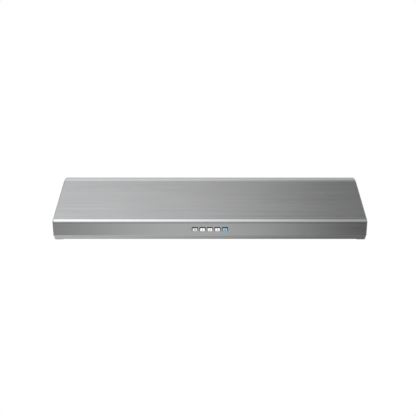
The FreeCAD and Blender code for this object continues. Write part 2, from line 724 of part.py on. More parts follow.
def capacitor_strap():
    """Strap that holds the capacitor up to the canopy's top."""
    x = CAPACITOR_X
    y = CAPACITOR_Y + 22
    width = 12
    band = Part.makeCylinder(CAPACITOR_R + SHEET, width, V(x, y, CAPACITOR_Z), V(0, 1, 0))
    foot = box(x - 26, x + 26, y, y + width, -2 * SHEET, -SHEET)
    bore = Part.makeCylinder(CAPACITOR_R, width + 2, V(x, y - 1, CAPACITOR_Z), V(0, 1, 0))
    return fuse([band, foot]).cut(bore)


def lead_grommet():
    """Block that carries the motor lead through the blower's top plate."""
    x = GROMMET_X
    block = box(x - 6, x + 6, FAN_Y - 6, FAN_Y + 6, SCROLL_TOP, -1.2)
    return fuse([block, post(5, SCROLL_TOP - 4, SCROLL_TOP + 1, x, FAN_Y)])


# ---- electrical box ----
def junction_box():
    """Wiring box behind the knock-out, open to the back panel and below."""
    x0, x1 = BOX_X
    z0, z1 = BOX_Z
    t = SHEET
    body = box(x0, x1, -BOX_DEPTH, -t, z0, z1)
    body = body.cut(box(x0 + t, x1 - t, -BOX_DEPTH + t, 0, z0 - t, z1 - t))
    lug = box(x0 + t, x1 - t, -BOX_DEPTH + t, -BOX_DEPTH + BOX_LUG, z0, z0 + t)
    x, y = box_screw_place()
    return fuse([body, lug]).cut(post(BOX_SCREW_R, z0 - t, z0 + 2 * t, x, y))


def box_screw_place():
    """Where the wiring box's lid is screwed on."""
    return sum(BOX_X) / 2, -BOX_DEPTH + 5


def junction_box_cover():
    """Removable lid under the wiring box."""
    x0, x1 = BOX_X
    z = BOX_Z[0]
    lid = box(x0, x1, -BOX_DEPTH, -SHEET, z - SHEET, z)
    x, y = box_screw_place()
    return lid.cut(post(BOX_SCREW_R, z - 2 * SHEET, z + SHEET, x, y))


def junction_cover_screw():
    """Screw that holds the wiring box lid."""
    x, y = box_screw_place()
    return screw_up(x, y, BOX_Z[0] - SHEET, BOX_SCREW_R, 5, 3.2, 2.0)


def terminal_block():
    """Three-way terminal strip inside the wiring box."""
    x = sum(BOX_X) / 2
    body = box(x - 18, x + 18, -58, -44, -20, -2)
    wells = [post(2.5, -21, -14, x + i * 12, -51) for i in (-1, 0, 1)]
    return body.cut(wells)


# ---- controls ----
def button_carrier():
    """Moulded carrier behind the front face: five wells, guides and screw posts."""
    body = plate(CARRIER_W, CARRIER_H, 3, -CARRIER_DEPTH, -SHEET, 0, CARRIER_Y)
    ears = [box(s * 60 - 7, s * 60 + 7, -7, 7, -4, -SHEET) for s in (-1, 1)]
    posts = [post(2.5, -BOARD_DEPTH, -8, x, y) for x, y in board_posts()]
    cuts = []
    for x in button_centres():
        cuts.append(button_hole(-4.5, 0, x))
        cuts.append(plate(BUTTON_CAP[0] + 0.7, BUTTON_CAP[1] + 0.7, 2.2, -9, 0, x, BUTTON_Y))
    cuts += [post(STUD_R + 0.2, -5, 0, s * CARRIER_EAR_X, 0) for s in (-1, 1)]
    return on_face(fuse([body] + ears + posts).cut(cuts))


def board_posts():
    """Corners where the control board is fixed."""
    x, y = BOARD_POSTS
    return [(sx * x, CARRIER_Y + sy * y) for sx in (-1, 1) for sy in (-1, 1)]


def carrier_nuts():
    """Welded studs and nuts that hold the carrier to the front face."""
    studs = []
    for x in (-CARRIER_EAR_X, CARRIER_EAR_X):
        studs.append(on_face(fuse([post(STUD_R, -8, -SHEET, x, 0), post(3.2, -6.5, -4, x, 0)])))
    return studs


def button(x):
    """Push-button: rounded cap, retaining flange and plunger."""
    cap = plate(BUTTON_CAP[0], BUTTON_CAP[1], 2.0, -BUTTON_DEPTH, BUTTON_PROUD, x, BUTTON_Y)
    rim = [e for e in cap.Edges if e.BoundBox.ZMin > BUTTON_PROUD - 0.01]
    cap = cap.makeFillet(0.7, rim)
    rear = -BUTTON_DEPTH
    flange = plate(BUTTON_FLANGE[0], BUTTON_FLANGE[1], 2.2, rear - 1, rear + 0.3, x, BUTTON_Y)
    return on_face(fuse([cap, flange, post(PLUNGER_R, -PLUNGER_DEPTH, rear - 0.8, x, BUTTON_Y)]))


def control_board():
    """Circuit board behind the buttons."""
    half_w = CARRIER_W / 2 - 3
    half_h = CARRIER_H / 2 - 2
    low = -BOARD_DEPTH - BOARD_T
    return on_face(box(-half_w, half_w, CARRIER_Y - half_h, CARRIER_Y + half_h, low, -BOARD_DEPTH))


def tact_switches():
    """Five switches on the board, each hollow for a button's plunger."""
    half = 3.0
    switches = []
    for x in button_centres():
        block = box(x - half, x + half, BUTTON_Y - half, BUTTON_Y + half, -BOARD_DEPTH, -12.6)
        switches.append(on_face(block.cut(post(PLUNGER_R + 0.4, -15.6, -12, x, BUTTON_Y))))
    return switches


def control_cover():
    """Cover over the back of the control board."""
    wall = COVER_WALL
    body = plate(CARRIER_W, CARRIER_H, 3, -COVER_DEPTH, -CARRIER_DEPTH, 0, CARRIER_Y)
    hollow = plate(CARRIER_W - 2 * wall, CARRIER_H - 2 * wall, wall, -COVER_DEPTH + wall, -8, 0, CARRIER_Y)
    return on_face(body.cut(hollow))


# ---- lamps ----
def lamp_housing(x):
    """Round lamp cup with its flange under the pan and a connector on top."""
    z = PAN_Z
    wall = 1.5
    top = z + LAMP_CUP
    outer = LAMP_R - 0.5
    cup = revolve(
        [
            (LENS_R, z - wall), (LAMP_FLANGE_R, z - wall), (LAMP_FLANGE_R, z), (outer, z), (outer, top),
            (0, top), (0, top - wall), (outer - wall, top - wall), (outer - wall, z), (LENS_R, z),
        ],
        x, LAMP_Y,
    )
    plug = box(x - 8, x + 8, LAMP_Y - 6, LAMP_Y + 6, top, top + 8)
    return fuse([cup, plug])


def lamp_lenses():
    """Frosted lenses in the lamps' flanges."""
    return [post(LENS_R, PAN_Z - 1.3, PAN_Z + 0.5, x, LAMP_Y) for x in (-LAMP_X, LAMP_X)]


def lamp_boards():
    """LED discs above the lenses."""
    top = PAN_Z + LAMP_CUP - 1.5
    return [post(LED_BOARD_R, top - BOARD_T, top, x, LAMP_Y) for x in (-LAMP_X, LAMP_X)]


def led_driver():
    """Driver box for the lamps, on the front strip of the pan."""
    return box(DRIVER_X[0], DRIVER_X[1], DRIVER_Y[0], DRIVER_Y[1], PAN_Z + SHEET, PAN_Z + DRIVER_H)


# ---- filters ----
def filter_bounds():
    """Outer corners of the right filter: x0, x1, y0, y1."""
    x0 = FILTER_HOLE_X[0] + FILTER_GAP
    x1 = FILTER_HOLE_X[1] - FILTER_GAP
    y0 = FILTER_HOLE_Y[0] + 2.0
    y1 = FILTER_HOLE_Y[1] - FILTER_REAR_GAP
    return x0, x1, y0, y1


def filter_frame():
    """Right filter frame: channel ring, rear tabs and latch pocket."""
    x0, x1, y0, y1 = filter_bounds()
    z0 = PAN_Z
    z1 = PAN_Z + FILTER_T
    w = FILTER_WALL
    b = FILTER_BAR
    middle = (x0 + x1) / 2
    outer = box(x0, x1, y0, y1, z0, z1)
    outer = outer.cut(box(x0 + b, x1 - b, y0 + b, y1 - b, z0 - 1, z1 + 1))
    channel = box(x0 + w, x1 - w, y0 + w, y1 - w, z0 + FILTER_LIP, z1 - FILTER_LIP)
    body = outer.cut(channel)
    pocket = box(middle - POCKET_HALF, middle + POCKET_HALF, y0 + w, y0 + POCKET_DEPTH, z0, z1)
    half = POCKET_HALF - POCKET_WALL
    rear = y0 + POCKET_DEPTH - POCKET_WALL
    hollow = box(middle - half, middle + half, y0 + w, rear, z0 + FILTER_LIP, z1 - FILTER_LIP)
    tabs = []
    for x in (middle - TAB_SPREAD, middle + TAB_SPREAD):
        top = HINGE_Z - 0.1
        tabs.append(box(x - TAB_HALF, x + TAB_HALF, y1 - 1, HINGE_Y + TAB_REACH, top - SHEET, top))
    body = fuse([body, pocket] + tabs).cut(hollow)
    slot = GRIP_HALF + 0.6
    knob_slot = box(middle - slot, middle + slot, y0 + GRIP_Y[0] - 0.6, y0 + GRIP_Y[1] + 5.6, z0 - 1, z0 + 2)
    slot = TONGUE_HALF + 0.6
    tongue_slot = box(middle - slot, middle + slot, y0 - 1, y0 + 3, z0 + 2.2, z0 + 4.8)
    return body.cut([knob_slot, tongue_slot])


def filter_mesh():
    """Right filter's two outer mesh layers, clear of the latch pocket."""
    x0, x1, y0, y1 = filter_bounds()
    w = FILTER_WALL
    middle = (x0 + x1) / 2
    z0 = PAN_Z + FILTER_LIP
    z1 = PAN_Z + FILTER_T - FILTER_LIP
    pocket = box(middle - POCKET_HALF, middle + POCKET_HALF, y0, y0 + POCKET_DEPTH, z0 - 1, z1 + 1)
    layers = [box(x0 + w, x1 - w, y0 + w, y1 - w, z, z + MESH_T) for z in (z0, z1 - MESH_T)]
    return [layer.cut(pocket) for layer in layers]


def filter_latch():
    """Sliding latch: plate, tongue and finger grip under the filter."""
    x0, x1, y0, y1 = filter_bounds()
    middle = (x0 + x1) / 2
    z0 = PAN_Z
    front, rear = y0 + LATCH_SLIDE[0], y0 + LATCH_SLIDE[1]
    slider = box(middle - LATCH_HALF, middle + LATCH_HALF, front, rear, z0 + 1.7, z0 + 4.7)
    tongue = box(middle - TONGUE_HALF, middle + TONGUE_HALF, y0 - TONGUE_OUT, front + 1, z0 + 2.7, z0 + 4.3)
    grip_y = (y0 + GRIP_Y[0], y0 + GRIP_Y[1])
    grip = box(middle - GRIP_HALF, middle + GRIP_HALF, grip_y[0], grip_y[1], z0 - GRIP_DROP, z0 + 2)
    low = [e for e in grip.Edges if e.BoundBox.ZMax < z0 - GRIP_DROP + 0.01]
    return fuse([slider, tongue, grip.makeFillet(1.5, low)])


def latch_spring():
    """Bowed leaf spring between the right latch and the rear wall of its pocket."""
    x0, x1, y0, y1 = filter_bounds()
    middle = (x0 + x1) / 2
    wall = y0 + SPRING_SEAT
    bow = y0 + SPRING_BOW
    outer = SPRING_HALF
    inner = outer - 1.2 * SPRING_T
    front = Part.Arc(V(middle - outer, wall, 0), V(middle, bow, 0), V(middle + outer, wall, 0))
    back = Part.Arc(V(middle + inner, wall, 0), V(middle, bow + SPRING_T, 0), V(middle - inner, wall, 0))
    edges = [front, back]
    for s in (-1, 1):
        edges.append(Part.LineSegment(V(middle + s * outer, wall, 0), V(middle + s * inner, wall, 0)))
    strip = Part.Face(Part.Wire(Part.__sortEdges__([e.toShape() for e in edges])))
    leaf = strip.extrude(V(0, 0, SPRING_H))
    leaf.translate(V(0, 0, PAN_Z + 2.2))
    return leaf


# ---- wiring held inside the hood ----
def mains_loom():
    """Lead from the wiring box forward to the control cover."""
    end = on_face(Part.Vertex(V(CARRIER_W / 2, 0, -20))).Point
    route = [
        V(262, -BOX_DEPTH, -42), V(262, -130, -42), V(266, -230, -44), V(250, -330, -70),
        V(205, -400, -98), V(120, end.y, end.z), end,
    ]
    return tube_along(route, LOOM_R, 60)


def motor_loom():
    """Lead from the wiring box to the motor's grommet, over the blower."""
    z = -4.0
    route = [
        V(BOX_X[0], -60, z), V(160, -60, z), V(140, -100, z), V(80, -165, z), V(50, FAN_Y, z),
        V(GROMMET_X + 6, FAN_Y, z),
    ]
    return tube_along(route, MOTOR_LOOM_R, 40)


def lamp_looms():
    """Leads from the driver to both lamps."""
    z = PAN_Z + 22
    low = LAMP_Y - 4
    right = [
        V(DRIVER_X[1], LAMP_Y, z), V(152, LAMP_Y, z), V(166, low, z + 4), V(180, LAMP_Y, z),
        V(LAMP_X - 8, LAMP_Y, z),
    ]
    left = [
        V(DRIVER_X[0], LAMP_Y, z), V(25, LAMP_Y, z), V(-30, LAMP_Y + 4, z - 10), V(-95, low, z - 12),
        V(-150, LAMP_Y, z), V(-LAMP_X + 8, LAMP_Y, z),
    ]
    return [tube_along(right, LAMP_LOOM_R, 40), tube_along(left, LAMP_LOOM_R, 60)]


# ---- export ----
def export(name, shape):
    """Writes one node; a list of solids becomes one group."""
    if isinstance(shape, list):
        shape = Part.makeCompound(shape)
    if not shape.isValid():
        print("invalid", name)
    shape.exportStep(os.path.join("parts", name + ".step"))


def main():
    os.makedirs("parts", exist_ok=True)
    cap = end_cap()
    ledge = pan_ledge()
    frame = filter_frame()
    mesh = filter_mesh()
    latch = filter_latch()
    spring = latch_spring()
    nodes = {
        "canopy_skin": canopy_skin(),
        "right_end_cap": cap,
        "left_end_cap": mirror(cap),
        "back_panel": back_panel(),
        "underside_pan": underside_pan(),
        "right_pan_ledge": ledge,
        "left_pan_ledge": mirror(ledge),
        "pan_screws": pan_screws(),
        "top_knockout_plate": top_knockout_plate(),
        "duct_collar": duct_collar(),
        "collar_screws": collar_screws(),
        "damper_flap": damper_flap(),
        "damper_rod": damper_rod(),
        "scroll_housing": scroll_housing(),
        "scroll_base": scroll_base(),
        "blower_standoffs": blower_standoffs(),
        "inlet_guard": inlet_guard(),
        "impeller_backplate": impeller_backplate(),
        "impeller_blades": impeller_blades(),
        "impeller_nut": impeller_nut(),
        "motor_shaft": motor_shaft(),
        "motor_rotor": motor_rotor(),
        "motor_stator": motor_stator(),
        "motor_upper_shell": motor_upper_shell(),
        "motor_lower_shell": motor_lower_shell(),
        "motor_bushes": motor_bushes(),
        "motor_screws": motor_screws(),
        "motor_lead_grommet": lead_grommet(),
        "run_capacitor": run_capacitor(),
        "capacitor_strap": capacitor_strap(),
        "junction_box": junction_box(),
        "junction_box_cover": junction_box_cover(),
        "junction_cover_screw": junction_cover_screw(),
        "terminal_block": terminal_block(),
        "button_carrier": button_carrier(),
        "carrier_nuts": carrier_nuts(),
        "control_board": control_board(),
        "tact_switches": tact_switches(),
        "control_cover": control_cover(),
        "right_lamp_housing": lamp_housing(LAMP_X),
        "left_lamp_housing": lamp_housing(-LAMP_X),
        "lamp_lenses": lamp_lenses(),
        "lamp_boards": lamp_boards(),
        "led_driver": led_driver(),
        "right_filter_frame": frame,
        "left_filter_frame": mirror(frame),
        "right_filter_mesh": mesh,
        "left_filter_mesh": [mirror(layer) for layer in mesh],
        "right_filter_latch": latch,
        "left_filter_latch": mirror(latch),
        "right_latch_spring": spring,
        "left_latch_spring": mirror(spring),
        "mains_loom": mains_loom(),
        "motor_loom": motor_loom(),
        "lamp_looms": lamp_looms(),
    }
    for name, x in zip(BUTTON_NAMES, button_centres()):
        nodes[name] = button(x)
    for name, shape in nodes.items():
        export(name, shape)


main()
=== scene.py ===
import json
import math
import random

import bmesh
import bpy
from mathutils import Matrix, Vector


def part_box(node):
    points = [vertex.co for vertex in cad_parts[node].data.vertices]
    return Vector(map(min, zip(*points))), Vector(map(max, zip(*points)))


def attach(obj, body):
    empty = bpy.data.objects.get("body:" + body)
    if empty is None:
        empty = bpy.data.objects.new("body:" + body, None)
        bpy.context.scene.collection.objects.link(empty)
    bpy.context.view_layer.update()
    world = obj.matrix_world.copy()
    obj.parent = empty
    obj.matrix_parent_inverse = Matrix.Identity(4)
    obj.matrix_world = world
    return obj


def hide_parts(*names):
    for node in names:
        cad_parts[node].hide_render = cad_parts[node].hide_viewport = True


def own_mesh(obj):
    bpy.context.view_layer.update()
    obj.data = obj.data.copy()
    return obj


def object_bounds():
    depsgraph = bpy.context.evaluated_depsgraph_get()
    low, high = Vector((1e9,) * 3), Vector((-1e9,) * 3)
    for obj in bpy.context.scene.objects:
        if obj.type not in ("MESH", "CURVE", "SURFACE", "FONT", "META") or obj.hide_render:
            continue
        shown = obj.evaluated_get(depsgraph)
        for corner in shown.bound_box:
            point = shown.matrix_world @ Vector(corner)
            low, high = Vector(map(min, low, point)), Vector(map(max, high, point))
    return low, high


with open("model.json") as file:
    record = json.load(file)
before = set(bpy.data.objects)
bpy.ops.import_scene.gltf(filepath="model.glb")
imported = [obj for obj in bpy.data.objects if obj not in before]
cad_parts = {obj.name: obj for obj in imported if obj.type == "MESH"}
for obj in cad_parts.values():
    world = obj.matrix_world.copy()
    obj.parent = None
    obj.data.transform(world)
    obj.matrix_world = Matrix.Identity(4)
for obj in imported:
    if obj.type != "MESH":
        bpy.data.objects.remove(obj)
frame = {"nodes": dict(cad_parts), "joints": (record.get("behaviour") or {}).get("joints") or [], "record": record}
nodes = frame["nodes"]
cad_low, cad_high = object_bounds()

MM = 0.001


# ---------------------------------------------------------------- shader graphs
MIX_SHARE, MIX_A, MIX_B, MIX_COLOUR = 0, 6, 7, 2       # sockets of a Mix node for colours
EDGE_DOT = (0.80, 0.995)       # cosine of rounded and true normals: on an edge, on a flat face
MOST = (0.3, 0.7)              # the range that nearly all of a noise lies in
MIDDLE = (0.35, 0.65)          # a narrower range, for more contrast


class Graph:
    """A material's node tree: each method adds one step and returns its output socket."""

    def __init__(self, name):
        self.material = bpy.data.materials.new(name)
        self.material.use_nodes = True
        self.tree = self.material.node_tree
        self.tree.nodes.clear()
        self.output = self.tree.nodes.new("ShaderNodeOutputMaterial")
        self.place = self.tree.nodes.new("ShaderNodeTexCoord").outputs["Object"]

    def node(self, kind, values=None, **settings):
        """Adds a node, with its settings, and its inputs set or linked by name or number."""
        made = self.tree.nodes.new(kind)
        for key, value in settings.items():
            setattr(made, key, value)
        for key, value in (values or {}).items():
            self.feed(made.inputs[key], value)
        return made

    def feed(self, socket, value):
        """Links a socket, or sets it."""
        if isinstance(value, bpy.types.NodeSocket):
            self.tree.links.new(value, socket)
        else:
            socket.default_value = value

    def repeated(self, scale):
        """Object coordinates times scale: one number, or one for each axis."""
        scale = scale if isinstance(scale, tuple) else (scale,) * 3
        return self.node("ShaderNodeMapping", {"Vector": self.place, "Scale": scale}).outputs[0]

    def noise(self, scale, detail=3.0, rough=0.55):
        """Noise from 0 to 1, with scale as features per metre along each axis."""
        place = self.repeated(scale)
        values = {"Vector": place, "Scale": 1.0, "Detail": detail, "Roughness": rough}
        return self.node("ShaderNodeTexNoise", values).outputs["Fac"]

    def cells(self, scale, feature="F1", output="Distance"):
        """Voronoi cells, with scale as cells per metre."""
        values = {"Vector": self.repeated(scale), "Scale": 1.0}
        return self.node("ShaderNodeTexVoronoi", values, feature=feature).outputs[output]

    def math(self, operation, a, b=0.0):
        """One arithmetic step."""
        return self.node("ShaderNodeMath", {0: a, 1: b}, operation=operation).outputs[0]

    def spread(self, value, low, high, start=0.0, end=1.0):
        """Maps value from start..end to low..high, held at both ends."""
        values = {"Value": value, "From Min": start, "From Max": end, "To Min": low, "To Max": high}
        return self.node("ShaderNodeMapRange", values, clamp=True).outputs["Result"]

    def blend(self, share, a, b):
        """Colour between a and b."""
        made = self.node("ShaderNodeMix", data_type="RGBA")
        self.feed(made.inputs[MIX_SHARE], share)
        for socket, colour in ((MIX_A, a), (MIX_B, b)):
            linked = isinstance(colour, bpy.types.NodeSocket)
            self.feed(made.inputs[socket], colour if linked else (*colour, 1.0))
        return made.outputs[MIX_COLOUR]

    def axis(self, number):
        """One object coordinate, in metres."""
        return self.node("ShaderNodeSeparateXYZ", {0: self.place}).outputs[number]

    def edges(self, radius):
        """1 on edges, 0 on flat and gently curved faces."""
        bevel = self.node("ShaderNodeBevel", {"Radius": radius}, samples=4).outputs[0]
        flat = self.node("ShaderNodeNewGeometry").outputs["Normal"]
        dot = self.node("ShaderNodeVectorMath", {0: bevel, 1: flat}, operation="DOT_PRODUCT")
        return self.spread(dot.outputs["Value"], 1.0, 0.0, *EDGE_DOT)

    def bump(self, height, distance, strength):
        """Normal for a relief of that distance, in metres."""
        values = {"Height": height, "Distance": distance, "Strength": strength}
        return self.node("ShaderNodeBump", values).outputs[0]

    def surface(self, **inputs):
        """The Principled surface, its inputs given with underscores for spaces."""
        values = {key.replace("_", " "): value for key, value in inputs.items()}
        for key, value in values.items():
            if isinstance(value, tuple) and len(value) == 3 and "Color" in key:
                values[key] = (*value, 1.0)
        shader = self.node("ShaderNodeBsdfPrincipled", values)
        self.tree.links.new(shader.outputs[0], self.output.inputs["Surface"])
        return self.material


def scaled(colour, factor):
    """A colour made darker or lighter."""
    return tuple(c * factor for c in colour)


GRAIN_ALONG, GRAIN_ACROSS = 3.0, 900.0     # features per metre along and across the brushing
COARSE_SCALE = 0.28                        # scale of the coarse lines against the fine ones
FINE_SHARE, COARSE_SHARE = 0.78, 0.22


def brushed_steel(name, grain, tint=(0.60, 0.605, 0.612), rough=0.22, depth=0.35):
    """Brushed metal with its grain along one axis, faint handling marks and a painted highlight along the edges.
    """
    g = Graph(name)
    along = tuple(GRAIN_ALONG if axis == grain else GRAIN_ACROSS for axis in "xyz")
    fine_lines = g.noise(along, 4.0, 0.7)
    coarse_lines = g.noise(tuple(s * COARSE_SCALE for s in along), 3.0, 0.6)
    fine_part = g.math("MULTIPLY", fine_lines, FINE_SHARE)
    lines = g.math("ADD", fine_part, g.math("MULTIPLY", coarse_lines, COARSE_SHARE))
    clouds = g.noise(5.0, 3.0, 0.5)
    smears = g.noise((9.0, 16.0, 16.0), 5.0, 0.62)
    edge = g.edges(0.9 * MM)
    dark = g.blend(g.spread(lines, 0.0, 1.0, *MOST), scaled(tint, 0.90), scaled(tint, 1.05))
    toned = g.blend(g.spread(clouds, 0.0, 0.5, 0.35, 0.7), dark, scaled(tint, 0.97))
    # colour lifted towards the edges: a painted highlight
    colour = g.blend(g.math("MULTIPLY", edge, 0.5), toned, scaled(tint, 1.22))
    brushing = g.spread(lines, rough - 0.05, rough + 0.06, *MOST)
    roughness = g.math("ADD", brushing, g.spread(smears, 0.0, 0.012, 0.5, 0.72))
    relief = g.bump(lines, 0.02 * MM, depth)
    tangent = g.node("ShaderNodeTangent", direction_type="RADIAL", axis=grain.upper()).outputs[0]
    return g.surface(
        Base_Color=colour, Metallic=1.0, Roughness=roughness, Normal=relief,
        Anisotropic=0.5, Tangent=tangent,
    )


def galvanised(name, tint=(0.53, 0.55, 0.57)):
    """Hot-dip zinc sheet: spangle crystals, dull patches and a painted highlight along the edges."""
    g = Graph(name)
    crystal = g.node("ShaderNodeSeparateXYZ", {0: g.cells(110.0, output="Color")}).outputs[0]
    frost = g.noise((420.0, 60.0, 420.0), 4.0, 0.6)
    bloom = g.noise(14.0, 5.0, 0.6)
    edge = g.edges(0.8 * MM)
    spangle = g.blend(crystal, scaled(tint, 0.86), scaled(tint, 1.16))
    dusty = g.blend(g.spread(bloom, 0.0, 0.35, 0.55, 0.75), spangle, (0.62, 0.63, 0.63))
    # colour lifted towards the edges: a painted highlight
    colour = g.blend(g.math("MULTIPLY", edge, 0.6), dusty, scaled(tint, 1.3))
    roughness = g.math("ADD", g.spread(crystal, 0.30, 0.46), g.spread(frost, -0.04, 0.06, *MOST))
    relief = g.bump(g.math("ADD", g.math("MULTIPLY", crystal, 0.6), frost), 0.03 * MM, 0.4)
    return g.surface(Base_Color=colour, Metallic=1.0, Roughness=roughness, Normal=relief)


def plated(name, tint, rough=0.25, wear=(0.35, 0.34, 0.33)):
    """Plated or turned metal: fine machining marks, a painted highlight along the edges, slight stain."""
    g = Graph(name)
    marks = g.noise((2500.0, 2500.0, 600.0), 3.0, 0.6)
    stain = g.noise(60.0, 4.0, 0.6)
    edge = g.edges(0.35 * MM)
    base = g.blend(g.spread(stain, 0.0, 0.45, 0.5, 0.75), tint, wear)
    # colour lifted towards the edges: a painted highlight
    colour = g.blend(g.math("MULTIPLY", edge, 0.55), base, scaled(tint, 1.18))
    roughness = g.spread(marks, rough - 0.05, rough + 0.10, *MOST)
    return g.surface(
        Base_Color=colour, Metallic=1.0, Roughness=roughness, Normal=g.bump(marks, 0.015 * MM, 0.5)
    )


def laminated(name, tint):
    """Stacked motor steel: sheet edges half a millimetre apart."""
    g = Graph(name)
    sheets = g.math("PINGPONG", g.axis(2), 0.25 * MM)
    groove = g.spread(sheets, 0.0, 1.0, 0.0, 0.08 * MM)
    stain = g.noise(80.0, 4.0, 0.6)
    sheet = g.blend(g.spread(stain, 0.0, 1.0, 0.4, 0.7), tint, scaled(tint, 0.8))
    # darker in the grooves between sheets: painted shade
    colour = g.blend(groove, scaled(tint, 0.45), sheet)
    return g.surface(
        Base_Color=colour, Metallic=0.9, Roughness=g.spread(stain, 0.38, 0.55, *MOST),
        Normal=g.bump(groove, 0.05 * MM, 0.6),
    )


def moulded(name, tint, rough=0.42, grain=1400.0, relief=0.03):
    """Injection-moulded plastic: spark-eroded texture, flow marks, and edges a little smoother and painted lighter
    as a highlight.
    """
    g = Graph(name)
    stipple = g.noise(grain, 2.0, 0.5)
    flow = g.noise((30.0, 60.0, 30.0), 3.0, 0.5)
    edge = g.edges(0.4 * MM)
    base = g.blend(g.spread(flow, 0.0, 1.0, *MIDDLE), scaled(tint, 0.94), scaled(tint, 1.04))
    # lighter colour at the edges: a painted highlight
    edge_highlight = tuple(min(1.0, c * 1.1 + 0.02) for c in tint)
    colour = g.blend(g.math("MULTIPLY", edge, 0.35), base, edge_highlight)
    texture = g.spread(stipple, rough - 0.06, rough + 0.08, *MOST)
    roughness = g.math("SUBTRACT", texture, g.math("MULTIPLY", edge, 0.1))
    return g.surface(
        Base_Color=colour, Roughness=roughness, Normal=g.bump(stipple, relief * MM, 0.6)
    )


def rubber(name, tint):
    """Black rubber: matt, with a grey bloom in the hollows of its grain."""
    g = Graph(name)
    grain = g.noise(2200.0, 3.0, 0.6)
    bloom = g.noise(120.0, 4.0, 0.6)
    colour = g.blend(g.spread(bloom, 0.0, 0.5, 0.45, 0.75), tint, (0.13, 0.13, 0.125))
    return g.surface(
        Base_Color=colour, Roughness=g.spread(grain, 0.62, 0.85, *MOST),
        Normal=g.bump(grain, 0.05 * MM, 0.7),
    )


def joint(name):
    """A joint of the record, by name."""
    return next(j for j in frame["joints"] if j["name"] == name)


INWARDS = Vector(joint("lamp_button_press")["axis"])        # the way every button is pressed
CAP_TOP = max(-INWARDS.dot(v.co) for v in nodes["lamp_button"].data.vertices)
CAP_SIDE_SHADE = (0.10, 0.10, 0.105)


def cap_plastic(name, tint, glow, strength):
    """Button plastic: a glowing face, with the sides below it darkened as painted shade for the gap round the cap.
    """
    g = Graph(name)
    fine = g.noise(1600.0, 2.0, 0.5)
    mottle = g.noise(260.0, 3.0, 0.5)
    forward = g.math("MULTIPLY", g.axis(1), -INWARDS.y)
    height = g.math("ADD", forward, g.math("MULTIPLY", g.axis(2), -INWARDS.z))
    front = g.spread(height, 0.0, 1.0, CAP_TOP - 0.8 * MM, CAP_TOP - 0.45 * MM)
    base = g.blend(g.spread(mottle, 0.0, 1.0, *MIDDLE), scaled(tint, 0.95), tint)
    # the sides below the face darkened: painted shade in the gap round the cap
    colour = g.blend(front, CAP_SIDE_SHADE, base)
    light = g.blend(g.spread(mottle, 0.0, 1.0, *MOST), scaled(glow, 0.92), glow)
    return g.surface(
        Base_Color=colour, Roughness=g.spread(fine, 0.26, 0.36, *MOST),
        Normal=g.bump(fine, 0.01 * MM, 0.5),
        Emission_Color=g.blend(front, (0.0, 0.0, 0.0), light), Emission_Strength=strength,
    )


def lit_plastic(name, tint, glow, strength):
    """Translucent plastic that glows: the lit symbol and the LED chips."""
    g = Graph(name)
    fine = g.noise(1600.0, 2.0, 0.5)
    mottle = g.noise(260.0, 3.0, 0.5)
    edge = g.edges(0.5 * MM)
    base = g.blend(g.spread(mottle, 0.0, 1.0, *MIDDLE), scaled(tint, 0.95), tint)
    colour = g.blend(g.math("MULTIPLY", edge, 0.5), base, scaled(tint, 0.8))
    light = g.blend(g.spread(mottle, 0.0, 1.0, *MOST), scaled(glow, 0.92), glow)
    return g.surface(
        Base_Color=colour, Roughness=g.spread(fine, 0.26, 0.36, *MOST),
        Normal=g.bump(fine, 0.01 * MM, 0.5),
        Subsurface_Weight=0.15, Subsurface_Radius=(1.0, 1.0, 1.0), Subsurface_Scale=0.8 * MM,
        Emission_Color=light, Emission_Strength=strength,
    )


def circuit_board(name):
    """Green solder mask over copper tracks."""
    g = Graph(name)
    across = g.math("PINGPONG", g.axis(0), 1.6 * MM)
    wander = g.noise((90.0, 300.0, 300.0), 2.0, 0.5)
    stripe = g.spread(across, 1.0, 0.0, 0.55 * MM, 0.75 * MM)
    track = g.math("MULTIPLY", stripe, g.spread(wander, 0.0, 1.0, 0.5, 0.52))
    fine = g.noise(900.0, 3.0, 0.6)
    mask = g.blend(g.spread(fine, 0.0, 1.0, *MOST), (0.015, 0.14, 0.055), (0.02, 0.18, 0.075))
    colour = g.blend(g.math("MULTIPLY", track, 0.8), mask, (0.06, 0.32, 0.13))
    return g.surface(
        Base_Color=colour, Roughness=g.spread(fine, 0.28, 0.42, *MOST),
        Normal=g.bump(track, 0.05 * MM, 0.7),
        Coat_Weight=0.4, Coat_Roughness=0.12,
    )


def frosted_lens(name):
    """Frosted lamp lens: pale and slightly cloudy, with a soft inner light."""
    g = Graph(name)
    fine = g.noise(1800.0, 3.0, 0.6)
    cloud = g.noise(60.0, 3.0, 0.5)
    tint = g.blend(g.spread(cloud, 0.0, 1.0, *MIDDLE), (0.86, 0.86, 0.83), (0.93, 0.93, 0.90))
    return g.surface(
        Base_Color=tint, Roughness=g.spread(fine, 0.32, 0.5, *MOST),
        Normal=g.bump(fine, 0.02 * MM, 0.6),
        Subsurface_Weight=0.2, Subsurface_Radius=(1.0, 1.0, 0.9), Subsurface_Scale=2.0 * MM,
        Emission_Color=(1.0, 0.98, 0.93), Emission_Strength=0.12,
    )


def copper_wire(name):
    """Enamelled copper windings."""
    g = Graph(name)
    turns = g.math("PINGPONG", g.axis(2), 0.35 * MM)
    groove = g.spread(turns, 0.0, 1.0, 0.0, 0.2 * MM)
    blot = g.noise(150.0, 3.0, 0.6)
    colour = g.blend(g.spread(blot, 0.0, 1.0, *MIDDLE), (0.48, 0.17, 0.06), (0.62, 0.25, 0.09))
    return g.surface(
        # darker in the grooves between turns: painted shade
        Base_Color=g.blend(groove, (0.16, 0.05, 0.02), colour), Metallic=0.75,
        Roughness=g.spread(blot, 0.25, 0.4, *MOST), Normal=g.bump(groove, 0.12 * MM, 0.7),
    )


